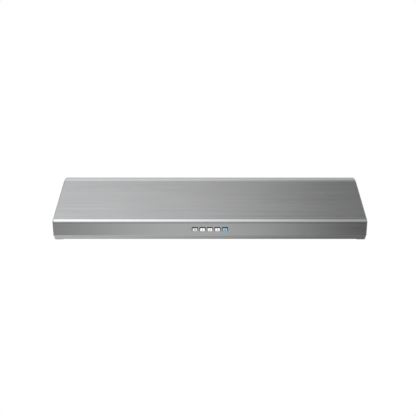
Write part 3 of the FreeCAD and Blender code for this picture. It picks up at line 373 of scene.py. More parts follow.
def sleeve(name, tint):
    """Woven glass sleeving over the leads."""
    g = Graph(name)
    weave = g.math("MULTIPLY", g.cells(900.0, feature="DISTANCE_TO_EDGE"), 2.0)
    wave = g.spread(weave, 0.0, 1.0, 0.05, 0.5)
    dust = g.noise(90.0, 3.0, 0.6)
    dusty = g.blend(g.spread(dust, 0.0, 0.5, 0.5, 0.8), tint, (0.2, 0.2, 0.2))
    # darker between the strands of the weave: painted shade
    colour = g.blend(wave, scaled(tint, 0.5), dusty)
    return g.surface(
        Base_Color=colour, Roughness=g.spread(weave, 0.5, 0.7), Normal=g.bump(wave, 0.15 * MM, 0.8)
    )


STEEL = brushed_steel("steel_brushed_along", "x")
STEEL_SIDE = brushed_steel("steel_brushed_side", "y", rough=0.27, depth=0.12)
STEEL_PAN = brushed_steel("steel_pan", "x", (0.58, 0.585, 0.59), 0.34)
ZINC_SHEET = galvanised("zinc_sheet")
ZINC = plated("zinc_plate", (0.66, 0.66, 0.63), 0.28)
BRIGHT = plated("bright_steel", (0.68, 0.68, 0.69), 0.18)
MOTOR_STEEL = plated("motor_steel", (0.30, 0.31, 0.32), 0.38, (0.22, 0.21, 0.20))
LAMINATION = laminated("motor_lamination", (0.42, 0.42, 0.43))
BLACK_FAN = moulded("fan_plastic", (0.028, 0.028, 0.031), 0.46, 900.0, 0.05)
RUBBER = rubber("bush_rubber", (0.035, 0.035, 0.035))
PALE_CAN = moulded("capacitor_white", (0.74, 0.74, 0.71), 0.34)
CREAM = moulded("terminal_cream", (0.74, 0.70, 0.60), 0.40)
DARK_PLASTIC = moulded("control_grey", (0.085, 0.086, 0.09), 0.45)
BOARD = circuit_board("board_green")
# the glow on these two white materials is painted light that brightens the caps; only the power cap is lit
CAP_LAMP = cap_plastic("button_white_dim", (0.80, 0.81, 0.82), (0.95, 0.97, 1.0), 0.44)
CAP_WHITE = cap_plastic("button_white", (0.84, 0.85, 0.85), (0.95, 0.97, 1.0), 0.64)
CAP_BLUE = cap_plastic("button_blue", (0.30, 0.52, 0.66), (0.26, 0.54, 0.74), 0.62)
ALUMINIUM = brushed_steel("filter_aluminium", "x", (0.66, 0.67, 0.68), 0.34)
MESH_METAL = plated("mesh_aluminium", (0.62, 0.63, 0.64), 0.30, (0.50, 0.50, 0.50))
LAMP_METAL = brushed_steel("lamp_body", "x", (0.64, 0.64, 0.65), 0.24)
LENS = frosted_lens("lamp_lens")
DRIVER = moulded("driver_white", (0.80, 0.80, 0.77), 0.38)
BLACK_CATCH = moulded("latch_black", (0.035, 0.035, 0.038), 0.4)
SLEEVE = sleeve("lead_sleeve", (0.055, 0.055, 0.055))
COPPER = copper_wire("copper_winding")
SYMBOL_GREY = moulded("symbol_grey", (0.20, 0.205, 0.21), 0.4)
SYMBOL_BLUE = lit_plastic("symbol_blue", (0.12, 0.28, 0.38), (0.08, 0.26, 0.40), 0.25)
# dark lines laid in joints: painted shade
SEAM_SHADE = plated("seam_shadow", (0.16, 0.16, 0.165), 0.5, (0.10, 0.10, 0.10))
WELD = plated("weld_mark", (0.46, 0.47, 0.49), 0.36, (0.36, 0.35, 0.34))
LED_CHIP = lit_plastic("led_chip", (0.86, 0.80, 0.45), (1.0, 0.93, 0.75), 0.5)
FOAM = rubber("damper_foam", (0.05, 0.05, 0.052))
BRASS = plated("brass", (0.66, 0.48, 0.20), 0.26, (0.42, 0.30, 0.12))

BY_SLOT = {
    "stainless": STEEL, "galvanised": ZINC_SHEET, "zinc_fixings": ZINC, "bright_steel": BRIGHT,
    "motor_steel": MOTOR_STEEL, "impeller_plastic": BLACK_FAN, "bush_rubber": RUBBER,
    "capacitor_plastic": PALE_CAN, "terminal_plastic": CREAM, "control_plastic": DARK_PLASTIC,
    "circuit_board": BOARD, "button_white": CAP_WHITE, "button_blue": CAP_BLUE,
    "lamp_body": LAMP_METAL, "lamp_lens": LENS, "driver_case": DRIVER,
    "filter_aluminium": ALUMINIUM, "filter_mesh": MESH_METAL, "latch_plastic": BLACK_CATCH,
    "lead_sleeve": SLEEVE,
}
BY_NODE = {
    "right_end_cap": STEEL_SIDE, "left_end_cap": STEEL_SIDE, "underside_pan": STEEL_PAN,
    "motor_stator": LAMINATION, "motor_rotor": LAMINATION, "lamp_button": CAP_LAMP,
}


def dress(obj, material):
    """Gives an object one material."""
    obj.data.materials.clear()
    obj.data.materials.append(material)


for part in frame["record"]["subparts"]:
    node = part["node"]
    if node in nodes:
        dress(nodes[node], BY_NODE.get(node, BY_SLOT[part["material_slot"]]))


# ---------------------------------------------------------------- mesh helpers
class Shape:
    """Vertices and faces of one piece, in metres, gathered part by part."""

    def __init__(self):
        self.points = []
        self.faces = []

    def add(self, points, faces, place=Matrix.Identity(4)):
        """Adds vertices, moved by place, with faces numbered from their first."""
        start = len(self.points)
        self.points += [place @ Vector(p) for p in points]
        self.faces += [tuple(start + i for i in face) for face in faces]

    def lathe(self, outline, place=Matrix.Identity(4), steps=32, loop=False):
        """Turns (radius, height) points about local Z; loop closes the outline into a ring."""
        points, rows = [], []
        for r, z in outline:
            row = []
            for i in range(steps if r > 1e-9 else 1):
                a = 2 * math.pi * i / steps
                row.append(len(points))
                points.append((r * math.cos(a), r * math.sin(a), z))
            rows.append(row)
        faces = []
        for low, high in zip(rows, rows[1:] + rows[:1] if loop else rows[1:]):
            for i in range(steps):
                j = (i + 1) % steps
                if len(low) == 1:
                    faces.append((low[0], high[j], high[i]))
                elif len(high) == 1:
                    faces.append((low[i], low[j], high[0]))
                else:
                    faces.append((low[i], low[j], high[j], high[i]))
        self.add(points, faces, place)

    def tube(self, route, radius, place=Matrix.Identity(4), sides=8, loop=False):
        """Round bar along a route of points, its ends closed unless it loops."""
        route = [Vector(p) for p in route]
        count = len(route)
        points, faces = [], []
        side = None
        for i, p in enumerate(route):
            ahead = route[(i + 1) % count] if loop or i < count - 1 else p
            behind = route[i - 1] if loop or i > 0 else p
            along = (ahead - behind).normalized()
            if side is None:
                side = along.orthogonal().normalized()
            side = (side - along * side.dot(along)).normalized()
            other = along.cross(side)
            for k in range(sides):
                a = 2 * math.pi * k / sides
                points.append(p + side * (radius * math.cos(a)) + other * (radius * math.sin(a)))
        for i in range(count if loop else count - 1):
            j = (i + 1) % count
            for k in range(sides):
                m = (k + 1) % sides
                faces.append((i * sides + k, i * sides + m, j * sides + m, j * sides + k))
        if not loop:
            faces.append(tuple(range(sides))[::-1])
            faces.append(tuple((count - 1) * sides + k for k in range(sides)))
        self.add(points, faces, place)

    def slab(self, low, high, place=Matrix.Identity(4), chamfer=0.0):
        """Box between two corners, its upper (+Z) rim chamfered."""
        (x0, y0, z0), (x1, y1, z1) = low, high
        c = chamfer
        rings = [(x0, y0, x1, y1, z0)]
        if c:
            rings.append((x0, y0, x1, y1, z1 - c))
        rings.append((x0 + c, y0 + c, x1 - c, y1 - c, z1))
        points = []
        for a, b, d, e, z in rings:
            points += [(a, b, z), (d, b, z), (d, e, z), (a, e, z)]
        faces = [(3, 2, 1, 0), tuple(len(points) - 4 + i for i in range(4))]
        for ring in range(len(points) // 4 - 1):
            for i in range(4):
                j = (i + 1) % 4
                faces.append((ring * 4 + i, ring * 4 + j, ring * 4 + 4 + j, ring * 4 + 4 + i))
        self.add(points, faces, place)

    def piece(self, name, material, body, slot, replaced=(), sharp=35.0):
        """Makes the object: it rides on a body and wears the given material; slot is not used."""
        mesh = bpy.data.meshes.new(name)
        mesh.from_pydata([tuple(p) for p in self.points], [], self.faces)
        work = bmesh.new()
        work.from_mesh(mesh)
        bmesh.ops.remove_doubles(work, verts=work.verts, dist=1e-7)
        bmesh.ops.recalc_face_normals(work, faces=work.faces)
        work.to_mesh(mesh)
        work.free()
        mesh.polygons.foreach_set("use_smooth", [True] * len(mesh.polygons))
        mesh.set_sharp_from_angle(angle=math.radians(sharp))
        obj = bpy.data.objects.new(name, mesh)
        bpy.context.scene.collection.objects.link(obj)
        mesh.materials.append(material)
        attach(obj, body)
        if replaced:
            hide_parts(*replaced)
        return obj


def frame_at(origin, out, across=(1.0, 0.0, 0.0)):
    """Matrix whose Z points out, X across and origin at a point."""
    z = Vector(out).normalized()
    x = Vector(across)
    x = (x - z * x.dot(z)).normalized()
    y = z.cross(x)
    place = Matrix((x, y, z)).transposed().to_4x4()
    place.translation = Vector(origin)
    return place


def dome(shape, place, radius, height, steps=20):
    """Low rounded head, such as a rivet or a weld mark, standing on local Z = 0."""
    rings = 5
    foot = -height * 0.4        # sunk into the sheet, so that no gap shows
    outline = [(0.0, foot), (radius, foot)]
    for i in range(rings):
        a = math.pi / 2 * i / rings
        outline.append((radius * math.cos(a), height * math.sin(a)))
    outline.append((0.0, height))
    shape.lathe(outline, place, steps)


def screw_head(shape, place, radius, height):
    """Pan head with a sunk middle and a cross in it."""
    outline = [
        (0.0, 0.0), (1.0, 0.0), (1.0, 0.45), (0.86, 0.85),
        (0.6, 1.0), (0.42, 1.0), (0.30, 0.6), (0.0, 0.5),
    ]
    shape.lathe([(radius * r, height * z) for r, z in outline], place, 24)
    arm, slot = radius * 0.52, radius * 0.11
    shape.slab((-arm, -slot, height * 0.45), (arm, slot, height * 0.75), place, slot * 0.5)
    shape.slab((-slot, -arm, height * 0.45), (slot, arm, height * 0.75), place, slot * 0.5)


def centre(node):
    """Middle of a CAD node's box."""
    a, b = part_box(node)
    return (a + b) / 2


# ---------------------------------------------------------------- buttons: symbols on the caps
def arc(cx, cy, r, start, end, steps=14):
    """Points of an arc, angles in degrees."""
    angles = [math.radians(start + (end - start) * i / steps) for i in range(steps + 1)]
    return [(cx + r * math.cos(a), cy + r * math.sin(a)) for a in angles]


# Strokes of each symbol in a box one unit high, middle at the origin.
SYMBOLS = {
    "lamp_button": [
        arc(0, 0.14, 0.34, -55, 235),
        [(-0.13, -0.26), (0.13, -0.26)],
        [(-0.10, -0.44), (0.10, -0.44)],
    ],
    "speed_1_button": [[(-0.16, 0.30), (0.06, 0.50), (0.06, -0.50)]],
    "speed_2_button": [arc(0, 0.23, 0.27, 165, -35, 10) + [(-0.28, -0.50), (0.30, -0.50)]],
    "speed_3_button": [arc(-0.02, 0.25, 0.25, 140, -80, 10), arc(-0.02, -0.25, 0.27, 80, -150, 10)],
    "power_button": [arc(0, -0.04, 0.42, 130, 410), [(0.0, 0.08), (0.0, 0.54)]],
}
SYMBOL_HEIGHT = 4.6 * MM
STROKE_R = 0.40 * MM
STROKE_FLATNESS = 0.25         # height of a stroke against its width
FACE_BAND = 0.05 * MM          # vertices this near the top are on the flat of the cap


def cap_frame(node):
    """Frame on the flat of a button's cap: X across, Y up the face, Z outwards."""
    place = frame_at((0, 0, 0), -INWARDS)
    local = [place.inverted() @ v.co for v in nodes[node].data.vertices]
    top = max(p.z for p in local)
    face = [p for p in local if p.z > top - FACE_BAND]
    middle = [(min(p[i] for p in face) + max(p[i] for p in face)) / 2 for i in (0, 1)]
    return place @ Matrix.Translation((middle[0], middle[1], top))


def button_symbols():
    """A raised symbol on each cap: lamp, 1, 2, 3 and power."""
    for node, strokes in SYMBOLS.items():
        shape = Shape()
        place = cap_frame(node) @ Matrix.Diagonal((1.0, 1.0, STROKE_FLATNESS, 1.0))
        for stroke in strokes:
            route = [(x * SYMBOL_HEIGHT, y * SYMBOL_HEIGHT, 0.0) for x, y in stroke]
            shape.tube(route, STROKE_R, place, 10)
        blue = node == "power_button"
        shape.piece(
            node.replace("button", "symbol"), SYMBOL_BLUE if blue else SYMBOL_GREY, node,
            "button_blue" if blue else "button_white",
        )


# ---------------------------------------------------------------- filters
STRAND_SHARE = 0.30        # how much of a diamond its strands take
STRAND_TILT = 0.30 * MM
FACE_PITCH = (10.0 * MM, 5.0 * MM)         # width and height of a diamond, lower layer
CORE_PITCH = (14.0 * MM, 7.0 * MM)         # upper layer
LAYER_T = 0.45 * MM
LAYER_INSET = 0.1 * MM         # from the faces of the CAD sheet
SHEET_MARGIN = 0.2 * MM
FRAME_WALL = 1.5 * MM
FRAME_BAR = 10.0 * MM
POCKET_HALF = 32.0 * MM        # the pocket that holds the latch
POCKET_DEPTH = 44.0 * MM
MITRE_START, MITRE_END = 0.8 * MM, FRAME_BAR - 0.6 * MM


def expanded_sheet(shape, x0, x1, y0, y1, z, pitch, skip):
    """One layer of expanded metal: staggered diamonds whose strands tilt the same way."""
    columns = round((x1 - x0) / pitch[0])
    rows = round((y1 - y0) / pitch[1]) * 2 - 1
    px = (x1 - x0) / columns
    py = (y1 - y0) / (rows + 1) * 2
    keep = 1 - STRAND_SHARE
    corners = [(px / 2, 0.0), (0.0, py / 2), (-px / 2, 0.0), (0.0, -py / 2)]
    tilt = [0.0, STRAND_TILT, 0.0, -STRAND_TILT]
    faces = []
    for i in range(4):
        j = (i + 1) % 4
        faces.append((i, j, 8 + j, 8 + i))
        faces.append((4 + i, 12 + i, 12 + j, 4 + j))
        faces.append((8 + i, 8 + j, 12 + j, 12 + i))
    heights = (z + LAYER_T, z)
    for row in range(rows):
        y = y0 + (row + 1) * py / 2
        odd = row % 2
        for column in range(columns - odd):
            x = x0 + (column + 0.5 + odd / 2) * px
            if skip[0] < x < skip[1] and skip[2] < y < skip[3]:
                continue
            points = [(x + a, y + b, h) for h in heights for a, b in corners]
            points += [
                (x + a * keep, y + b * keep, h + t)
                for h in heights for (a, b), t in zip(corners, tilt)
            ]
            shape.add(points, faces)


def filter_details(side):
    """Expanded mesh layers, corner rivets and dark mitre lines (painted shade) of one filter."""
    body = side + "_filter"
    low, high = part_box(side + "_filter_mesh")
    grip_low, grip_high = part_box(side + "_filter_latch")
    middle = (grip_low.x + grip_high.x) / 2
    skip = (middle - POCKET_HALF, middle + POCKET_HALF, low.y, low.y + POCKET_DEPTH)
    shape = Shape()
    edge = SHEET_MARGIN
    ends = (low.x + edge, high.x - edge, low.y + edge, high.y - edge)
    expanded_sheet(shape, *ends, low.z + LAYER_INSET, FACE_PITCH, skip)
    expanded_sheet(shape, *ends, high.z - LAYER_T - LAYER_INSET, CORE_PITCH, skip)
    hidden = [side + "_filter_mesh"]
    shape.piece(side + "_mesh_layers", MESH_METAL, body, "filter_mesh", hidden, 20.0)
    f_low, f_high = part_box(side + "_filter_frame")
    rear = high.y + FRAME_WALL
    rivets = Shape()
    for x in (f_low.x + FRAME_BAR / 2, f_high.x - FRAME_BAR / 2):
        for y in (f_low.y + FRAME_BAR / 2, rear - FRAME_BAR / 2):
            dome(rivets, frame_at((x, y, f_low.z), (0, 0, -1)), 2.0 * MM, 0.7 * MM)
    rivets.piece(side + "_filter_rivets", BRIGHT, body, "filter_aluminium")
    # dark lines along the mitres: painted shade in the joints
    seams = Shape()
    for x, sx in ((f_low.x, 1), (f_high.x, -1)):
        for y, sy in ((f_low.y, 1), (rear, -1)):
            start = Vector((x + sx * MITRE_START, y + sy * MITRE_START, f_low.z))
            end = Vector((x + sx * MITRE_END, y + sy * MITRE_END, f_low.z))
            seams.tube([start, (start + end) / 2, end], 0.18 * MM, sides=6)
    seams.piece(side + "_filter_mitres", SEAM_SHADE, body, "filter_aluminium")


RIB_HALF = 7.6 * MM
RIB_R = 0.45 * MM
RIB_START, RIB_PITCH = 21.5, 2.2      # mm from the latch's front end


def latch_ribs(side):
    """Finger ribs across the face of the latch's grip."""
    low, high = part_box(side + "_filter_latch")
    middle = (low.x + high.x) / 2
    shape = Shape()
    for i in range(4):
        y = low.y + (RIB_START + RIB_PITCH * i) * MM
        shape.tube([(middle + x, y, low.z) for x in (-RIB_HALF, 0.0, RIB_HALF)], RIB_R)
    shape.piece(side + "_latch_ribs", BLACK_CATCH, side + "_latch", "latch_plastic")


LEAF_T = 0.4 * MM
LEAF_STATIONS = 24


def latch_leaf(side):
    """Bowed leaf spring behind the latch."""
    low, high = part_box(side + "_latch_spring")
    middle = (low + high) / 2
    half = (high.x - low.x) / 2
    points, faces = [], []
    for i in range(LEAF_STATIONS + 1):
        u = 2 * i / LEAF_STATIONS - 1
        front = low.y + (high.y - LEAF_T - low.y) * u * u
        back = front + LEAF_T
        for y, z in ((front, low.z), (front, high.z), (back, high.z), (back, low.z)):
            points.append((middle.x + half * u, y, z))
    for i in range(LEAF_STATIONS):
        for k in range(4):
            m = (k + 1) % 4
            faces.append((i * 4 + k, i * 4 + m, i * 4 + 4 + m, i * 4 + 4 + k))
    faces += [(3, 2, 1, 0), tuple(LEAF_STATIONS * 4 + k for k in range(4))]
    shape = Shape()
    shape.add(points, faces)
    leaf = shape.piece(
        side + "_latch_leaf", BRIGHT, side + "_filter", "bright_steel", [side + "_latch_spring"]
    )
    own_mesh(leaf)


# ---------------------------------------------------------------- lamps
PRISMS = 9
PRISM_DEPTH = 0.35 * MM
LENS_CLEARANCE = 0.05 * MM
CHIPS = 6                      # LEDs on each board
CHIP_HALF, CHIP_FOOT, CHIP_TOP = 1.4 * MM, 0.05 * MM, 0.8 * MM
PAD_PLACE, PAD_HALF_X, PAD_HALF_Y, PAD_T = 1.7 * MM, 0.5 * MM, 1.2 * MM, 0.12 * MM


def lamp_optics():
    """Lenses with concentric prisms, standing for the plain CAD discs."""
    shape = Shape()
    low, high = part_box("lamp_lenses")
    radius = (high.y - low.y) / 2 - LENS_CLEARANCE
    outline = [(0.0, high.z - low.z), (radius, high.z - low.z), (radius, 0.6 * MM)]
    for i in range(PRISMS):
        r = radius * (1 - (i + 0.15) / PRISMS)
        outline += [(r, 0.0), (r - radius / PRISMS * 0.55, PRISM_DEPTH)]
    outline.append((0.0, 0.1 * MM))
    for x in (low.x + radius, high.x - radius):
        shape.lathe(outline[::-1], Matrix.Translation((x, (low.y + high.y) / 2, low.z)), 64)
    shape.piece("lamp_prisms", LENS, "hood", "lamp_lens", ["lamp_lenses"], 12.0)


def lamp_emitters():
    """LED chips and their solder pads on both lamp boards."""
    low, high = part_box("lamp_boards")
    radius = (high.y - low.y) / 2
    chips, pads = Shape(), Shape()
    for x in (low.x + radius, high.x - radius):
        middle = Vector((x, (low.y + high.y) / 2, low.z))
        for i in range(CHIPS):
            a = math.tau * i / CHIPS
            outwards = Vector((math.cos(a), math.sin(a), 0))
            place = frame_at(middle + outwards * radius * 0.6, (0, 0, -1), outwards)
            chip_low = (-CHIP_HALF, -CHIP_HALF, CHIP_FOOT)
            chips.slab(chip_low, (CHIP_HALF, CHIP_HALF, CHIP_TOP), place, 0.25 * MM)
            for x in (-PAD_PLACE, PAD_PLACE):
                pad_low = (x - PAD_HALF_X, -PAD_HALF_Y, 0)
                pads.slab(pad_low, (x + PAD_HALF_X, PAD_HALF_Y, PAD_T), place)
    chips.piece("lamp_led_chips", LED_CHIP, "hood", "lamp_lens")
    pads.piece("lamp_led_pads", ZINC, "hood", "circuit_board")


# ---------------------------------------------------------------- shell
WELD_INSET = 9 * MM
WELD_COLUMNS, WELD_ROWS = 13, 4
WELD_R, WELD_RISE = 2.4 * MM, 0.14 * MM
WELD_JITTER = 0.6              # mm along the row


def weld_marks():
    """Faint spot-weld marks round the back panel."""
    low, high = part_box("back_panel")
    shape = Shape()
    spots = []
    for i in range(WELD_COLUMNS):
        x = low.x + WELD_INSET + (high.x - low.x - 2 * WELD_INSET) * i / (WELD_COLUMNS - 1)
        spots += [(x, low.z + WELD_INSET), (x, high.z - WELD_INSET / 2)]
    for i in range(1, WELD_ROWS):
        z = low.z + WELD_INSET + (high.z - low.z - 2 * WELD_INSET) * i / WELD_ROWS
        spots += [(low.x + WELD_INSET, z), (high.x - WELD_INSET, z)]
    for x, z in spots:
        jitter = random.uniform(-WELD_JITTER, WELD_JITTER) * MM
        dome(shape, frame_at((x + jitter, high.y, z), (0, 1, 0)), WELD_R, WELD_RISE, 16)
    shape.piece("back_weld_marks", WELD, "hood", "galvanised")


PLATE_LAP = 9.5 * MM           # rim of the blanking plate that stays flat
CROSS_FOOT, CROSS_RISE = 0.02 * MM, 0.55 * MM
CROSS_SHARP = 0.05             # degrees: keeps even its shallow folds crisp


def blanking_cross():
    """Cross-broken face of the top blanking plate: a very low pyramid."""
    low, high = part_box("top_knockout_plate")
    x0, x1 = low.x + PLATE_LAP, high.x - PLATE_LAP
    y0, y1 = low.y + PLATE_LAP, high.y - PLATE_LAP
    points = [(x, y, high.z + CROSS_FOOT) for x, y in ((x0, y0), (x1, y0), (x1, y1), (x0, y1))]
    points.append(((x0 + x1) / 2, (y0 + y1) / 2, high.z + CROSS_RISE))
    shape = Shape()
    shape.add(points, [(0, 1, 4), (1, 2, 4), (2, 3, 4), (3, 0, 4), (3, 2, 1, 0)])
    shape.piece("blanking_cross_break", ZINC_SHEET, "hood", "galvanised", sharp=CROSS_SHARP)


SEAM_R = 0.16 * MM
PROFILE_HUB = Vector((-0.24, -0.135))      # (y, z) low inside the canopy, circled by its profile
PROFILE_FRONT = -0.40          # y behind which nothing below the hub is on the outer face
SAME_WAY = 0.004               # radians between points of the inner and the outer face


def cap_seams():
    """Dark hairline, painted shade, where each end cap's rim meets the canopy sheet."""
    low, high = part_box("canopy_skin")
    outline = outer_profile()
    for side, edge in (("right", high.x), ("left", -high.x)):
        shape = Shape()
        route = [(edge, max(y, low.y + SEAM_R), min(z, high.z - SEAM_R)) for y, z in outline]
        shape.tube(route, SEAM_R, sides=6)
        shape.piece(side + "_cap_seam", SEAM_SHADE, "hood", "stainless")


def outer_profile():
    """Side outline of the canopy sheet's outer face, read from its end vertices, back to front."""
    mesh = nodes["canopy_skin"].data
    edge = max(v.co.x for v in mesh.vertices) - 0.01 * MM
    ends = {(round(v.co.y, 6), round(v.co.z, 6)) for v in mesh.vertices if v.co.x > edge}
    hub = PROFILE_HUB
    ring = sorted(ends, key=lambda p: -math.atan2(p[1] - hub.y, p[0] - hub.x))
    outer = []
    for here in ring:
        if here[1] < hub.y and here[0] > PROFILE_FRONT:
            continue
        reach = (Vector(here) - hub).length
        near = [q for q in ring if abs(angle_between(q, here, hub)) < SAME_WAY and q != here]
        if all((Vector(q) - hub).length <= reach + 1e-7 for q in near):
            outer.append(here)
    return outer


def angle_between(a, b, hub):
    """Difference of two directions seen from hub, in radians."""
    first = math.atan2(a[1] - hub.y, a[0] - hub.x)
    second = math.atan2(b[1] - hub.y, b[0] - hub.x)
    return (first - second + math.pi) % math.tau - math.pi


# ---------------------------------------------------------------- duct and blower
FLAP_FACE = 2.6 * MM           # inner face of the flap's leaf, from the front of its box
SEAL_T, SEAL_WIDTH, SEAL_INSET = 0.35 * MM, 7 * MM, 1 * MM


def damper_seal():
    """Foam strips down both ends of the flap's inner face."""
    low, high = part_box("damper_flap")
    shape = Shape()
    place = frame_at((0, low.y + FLAP_FACE, 0), (0, -1, 0))
    for x in (low.x + SEAL_INSET, high.x - SEAL_INSET - SEAL_WIDTH):
        foot, top = low.z + SEAL_WIDTH, high.z - SEAL_WIDTH
        shape.slab((x, foot, 0), (x + SEAL_WIDTH, top, SEAL_T), place, 0.1 * MM)
    shape.piece("damper_seal", FOAM, "damper", "bush_rubber")


BEAD_R, BEAD_HALF, BEAD_RISE = 90 * MM, 2.2 * MM, 1.0 * MM
BEAD_FOOT = 0.2 * MM           # how far the bead reaches into the sheet
CLIP_SCREWS = 6
CLIP_SCREW_PLACE = 81 * MM     # from the shaft


def inlet_details():
    """Stiffening bead round the blower inlet, and the screws of the guard's clips."""
    shaft = centre("motor_shaft")
    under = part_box("scroll_base")[0].z
    bead = Shape()
    outline = []
    for i in range(9):
        a = math.pi * i / 8
        outline.append((BEAD_R + BEAD_HALF * math.cos(a), -BEAD_RISE * math.sin(a)))
    outline += [(BEAD_R - BEAD_HALF, BEAD_FOOT), (BEAD_R + BEAD_HALF, BEAD_FOOT)]
    bead.lathe(outline, Matrix.Translation((shaft.x, shaft.y, under)), 96, loop=True)
    bead.piece("inlet_bead", ZINC_SHEET, "hood", "galvanised")
    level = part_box("inlet_guard")[1].z - 3.0 * MM
    screws = Shape()
    for i in range(CLIP_SCREWS):
        a = math.radians(360 / CLIP_SCREWS * i + 15)
        x, y = shaft.x + CLIP_SCREW_PLACE * math.cos(a), shaft.y + CLIP_SCREW_PLACE * math.sin(a)
        place = frame_at((x, y, level), (0, 0, -1), (math.cos(2 * a), math.sin(2 * a), 0))
        screw_head(screws, place, 2.6 * MM, 1.5 * MM)
    screws.piece("guard_screws", ZINC, "hood", "zinc_fixings")


BUNDLE_STEPS = 240
BUNDLE_R = 2.0 * MM
BUNDLE_PLACE, BUNDLE_PITCH = 29.5, 4.2     # mm from the shaft
LACINGS = 12


def motor_windings():
    """Copper end turns above and below the stator core, laced into bundles."""
    low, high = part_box("motor_stator")
    middle = centre("motor_stator")
    shape = Shape()
    for z, s in ((high.z + 2.0 * MM, 1), (low.z - 2.4 * MM, -1)):
        for k in range(3):
            route = []
            for i in range(BUNDLE_STEPS):
                a = math.tau * i / BUNDLE_STEPS
                wave = math.sin(a * LACINGS + k * 2.1)
                r = (BUNDLE_PLACE + BUNDLE_PITCH * k + 0.7 * wave) * MM
                x, y = middle.x + r * math.cos(a), middle.y + r * math.sin(a)
                route.append((x, y, z + s * 0.5 * MM * wave))
            shape.tube(route, BUNDLE_R, loop=True)
    shape.piece("motor_windings", COPPER, "hood", "motor_steel")


SPADE_PLACE, SPADE_HALF, SPADE_HALF_T = 2.2 * MM, 1.2 * MM, 0.4 * MM


def capacitor_terminals():
    """Two spade terminals on the capacitor's end."""
    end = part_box("run_capacitor")[0].y
    can = centre("run_capacitor")
    shape = Shape()
    for x in (can.x - SPADE_PLACE, can.x + SPADE_PLACE):
        tip = (x - SPADE_HALF, end - 3.5 * MM, can.z - SPADE_HALF_T)
        shape.slab(tip, (x + SPADE_HALF, end + 1 * MM, can.z + SPADE_HALF_T))
    shape.piece("capacitor_terminals", BRIGHT, "hood", "bright_steel")


WELL_PITCH = 12 * MM
WELL_SCREW_DEPTH = 1.5 * MM


def terminal_screws():
    """Brass clamp screws in the wells of the terminal strip."""
    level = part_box("terminal_block")[0].z + WELL_SCREW_DEPTH
    middle = centre("terminal_block")
    shape = Shape()
    for i in (-1, 0, 1):
        place = frame_at((middle.x + i * WELL_PITCH, middle.y, level), (0, 0, -1), (1, 0.4 * i, 0))
        screw_head(shape, place, 2.2 * MM, 1.2 * MM)
    shape.piece("terminal_screws", BRASS, "hood", "terminal_plastic")


TIES = 5
TIE_R, TIE_HALF_T, TIE_HALF_WIDTH = 2.75 * MM, 0.4 * MM, 1.1 * MM
TIE_LOCK_HALF, TIE_LOCK_RISE = 1.6 * MM, 2.4 * MM


def loom_ties():
    """Cable ties along the supply loom."""
    vertices = [v.co for v in nodes["mains_loom"].data.vertices]
    low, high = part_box("mains_loom")

    def middle_at(y):
        band = sorted(vertices, key=lambda p: abs(p.y - y))[:24]
        return sum(band, Vector()) / len(band)

    shape = Shape()
    inner, outer, half, lock = TIE_R - TIE_HALF_T, TIE_R + TIE_HALF_T, TIE_HALF_WIDTH, TIE_LOCK_HALF
    ring = [(inner, -half), (outer, -half), (outer, half), (inner, half)]
    for i in range(1, TIES + 1):
        y = low.y + (high.y - low.y) * i / (TIES + 1)
        along = (middle_at(y + 4 * MM) - middle_at(y - 4 * MM)).normalized()
        place = frame_at(middle_at(y), along if along.length > 0.5 else (0, 1, 0), (0, 0, 1))
        shape.lathe(ring, place, 24, loop=True)
        shape.slab((TIE_R, -lock, -lock), (TIE_R + TIE_LOCK_RISE, lock, lock), place, 0.3 * MM)
    shape.piece("loom_ties", BLACK_CATCH, "hood", "lead_sleeve")


# On the board, in mm: x, y, width, height and thickness of a chip; x, y and radius of a can.
BOARD_CHIPS = [(-30, 0, 9, 9, 1.6), (-8, 3, 12, 5, 1.8), (14, -3, 6, 5, 1.2), (38, 0, 8, 12, 5.0)]
BOARD_CANS = [(-44, 4, 2.5), (-44, -4, 2.5), (26, 4, 3.0)]
CAN_SHOULDER, CAN_TOP = 4.6 * MM, 5.2 * MM


def board_parts():
    """Chips, capacitors and a connector on the back of the control board."""
    place = frame_at((0, 0, 0), INWARDS, (-1, 0, 0))
    inverse = place.inverted()
    local = [inverse @ v.co for v in nodes["control_board"].data.vertices]
    top = max(p.z for p in local)
    up = (min(p.y for p in local) + max(p.y for p in local)) / 2
    chips, cans = Shape(), Shape()
    at = place @ Matrix.Translation((0, up, top))
    for x, y, w, h, t in BOARD_CHIPS:
        corner = ((x - w / 2) * MM, (y - h / 2) * MM, 0.0)
        chips.slab(corner, ((x + w / 2) * MM, (y + h / 2) * MM, t * MM), at, 0.3 * MM)
    for x, y, r in BOARD_CANS:
        side, rim = r * MM, r * 0.9 * MM
        outline = [(0, 0), (side, 0), (side, CAN_SHOULDER), (rim, CAN_TOP), (0, CAN_TOP)]
        cans.lathe(outline, at @ Matrix.Translation((x * MM, y * MM, 0)), 24)
    chips.piece("board_chips", DARK_PLASTIC, "hood", "control_plastic")
    cans.piece("board_capacitors", BRIGHT, "hood", "bright_steel")


random.seed(7)
button_symbols()
for side in ("right", "left"):
    filter_details(side)
    latch_ribs(side)
    latch_leaf(side)
lamp_optics()
lamp_emitters()
weld_marks()
blanking_cross()
cap_seams()
damper_seal()
inlet_details()
motor_windings()
capacitor_terminals()
terminal_screws()
loom_ties()
board_parts()


# ---------------------------------------------------------------- camera, light and floor
# The camera's pitch, lens, place and shift come from fitting the hood's outline in the picture.
CAMERA_PITCH = math.radians(-1.494)        # from level, negative looks down
LENS_MM = 77.5
SENSOR_MM = 36.0
CAMERA_PLACE = Vector((0.0, -2.660, -0.0187))
FRAMING_SHIFT = -0.0047

camera_data = bpy.data.cameras.new("camera")
camera_data.lens = LENS_MM
camera_data.sensor_width = SENSOR_MM
camera_data.shift_x = FRAMING_SHIFT
camera = bpy.data.objects.new("camera", camera_data)
camera.location = CAMERA_PLACE
camera.rotation_euler = (math.radians(90) + CAMERA_PITCH, 0.0, 0.0)
bpy.context.scene.collection.objects.link(camera)
bpy.context.scene.camera = camera
bpy.context.scene.view_settings.view_transform = "Standard"

FLOOR_DROP = 0.9
FLOOR_HALF = 30.0

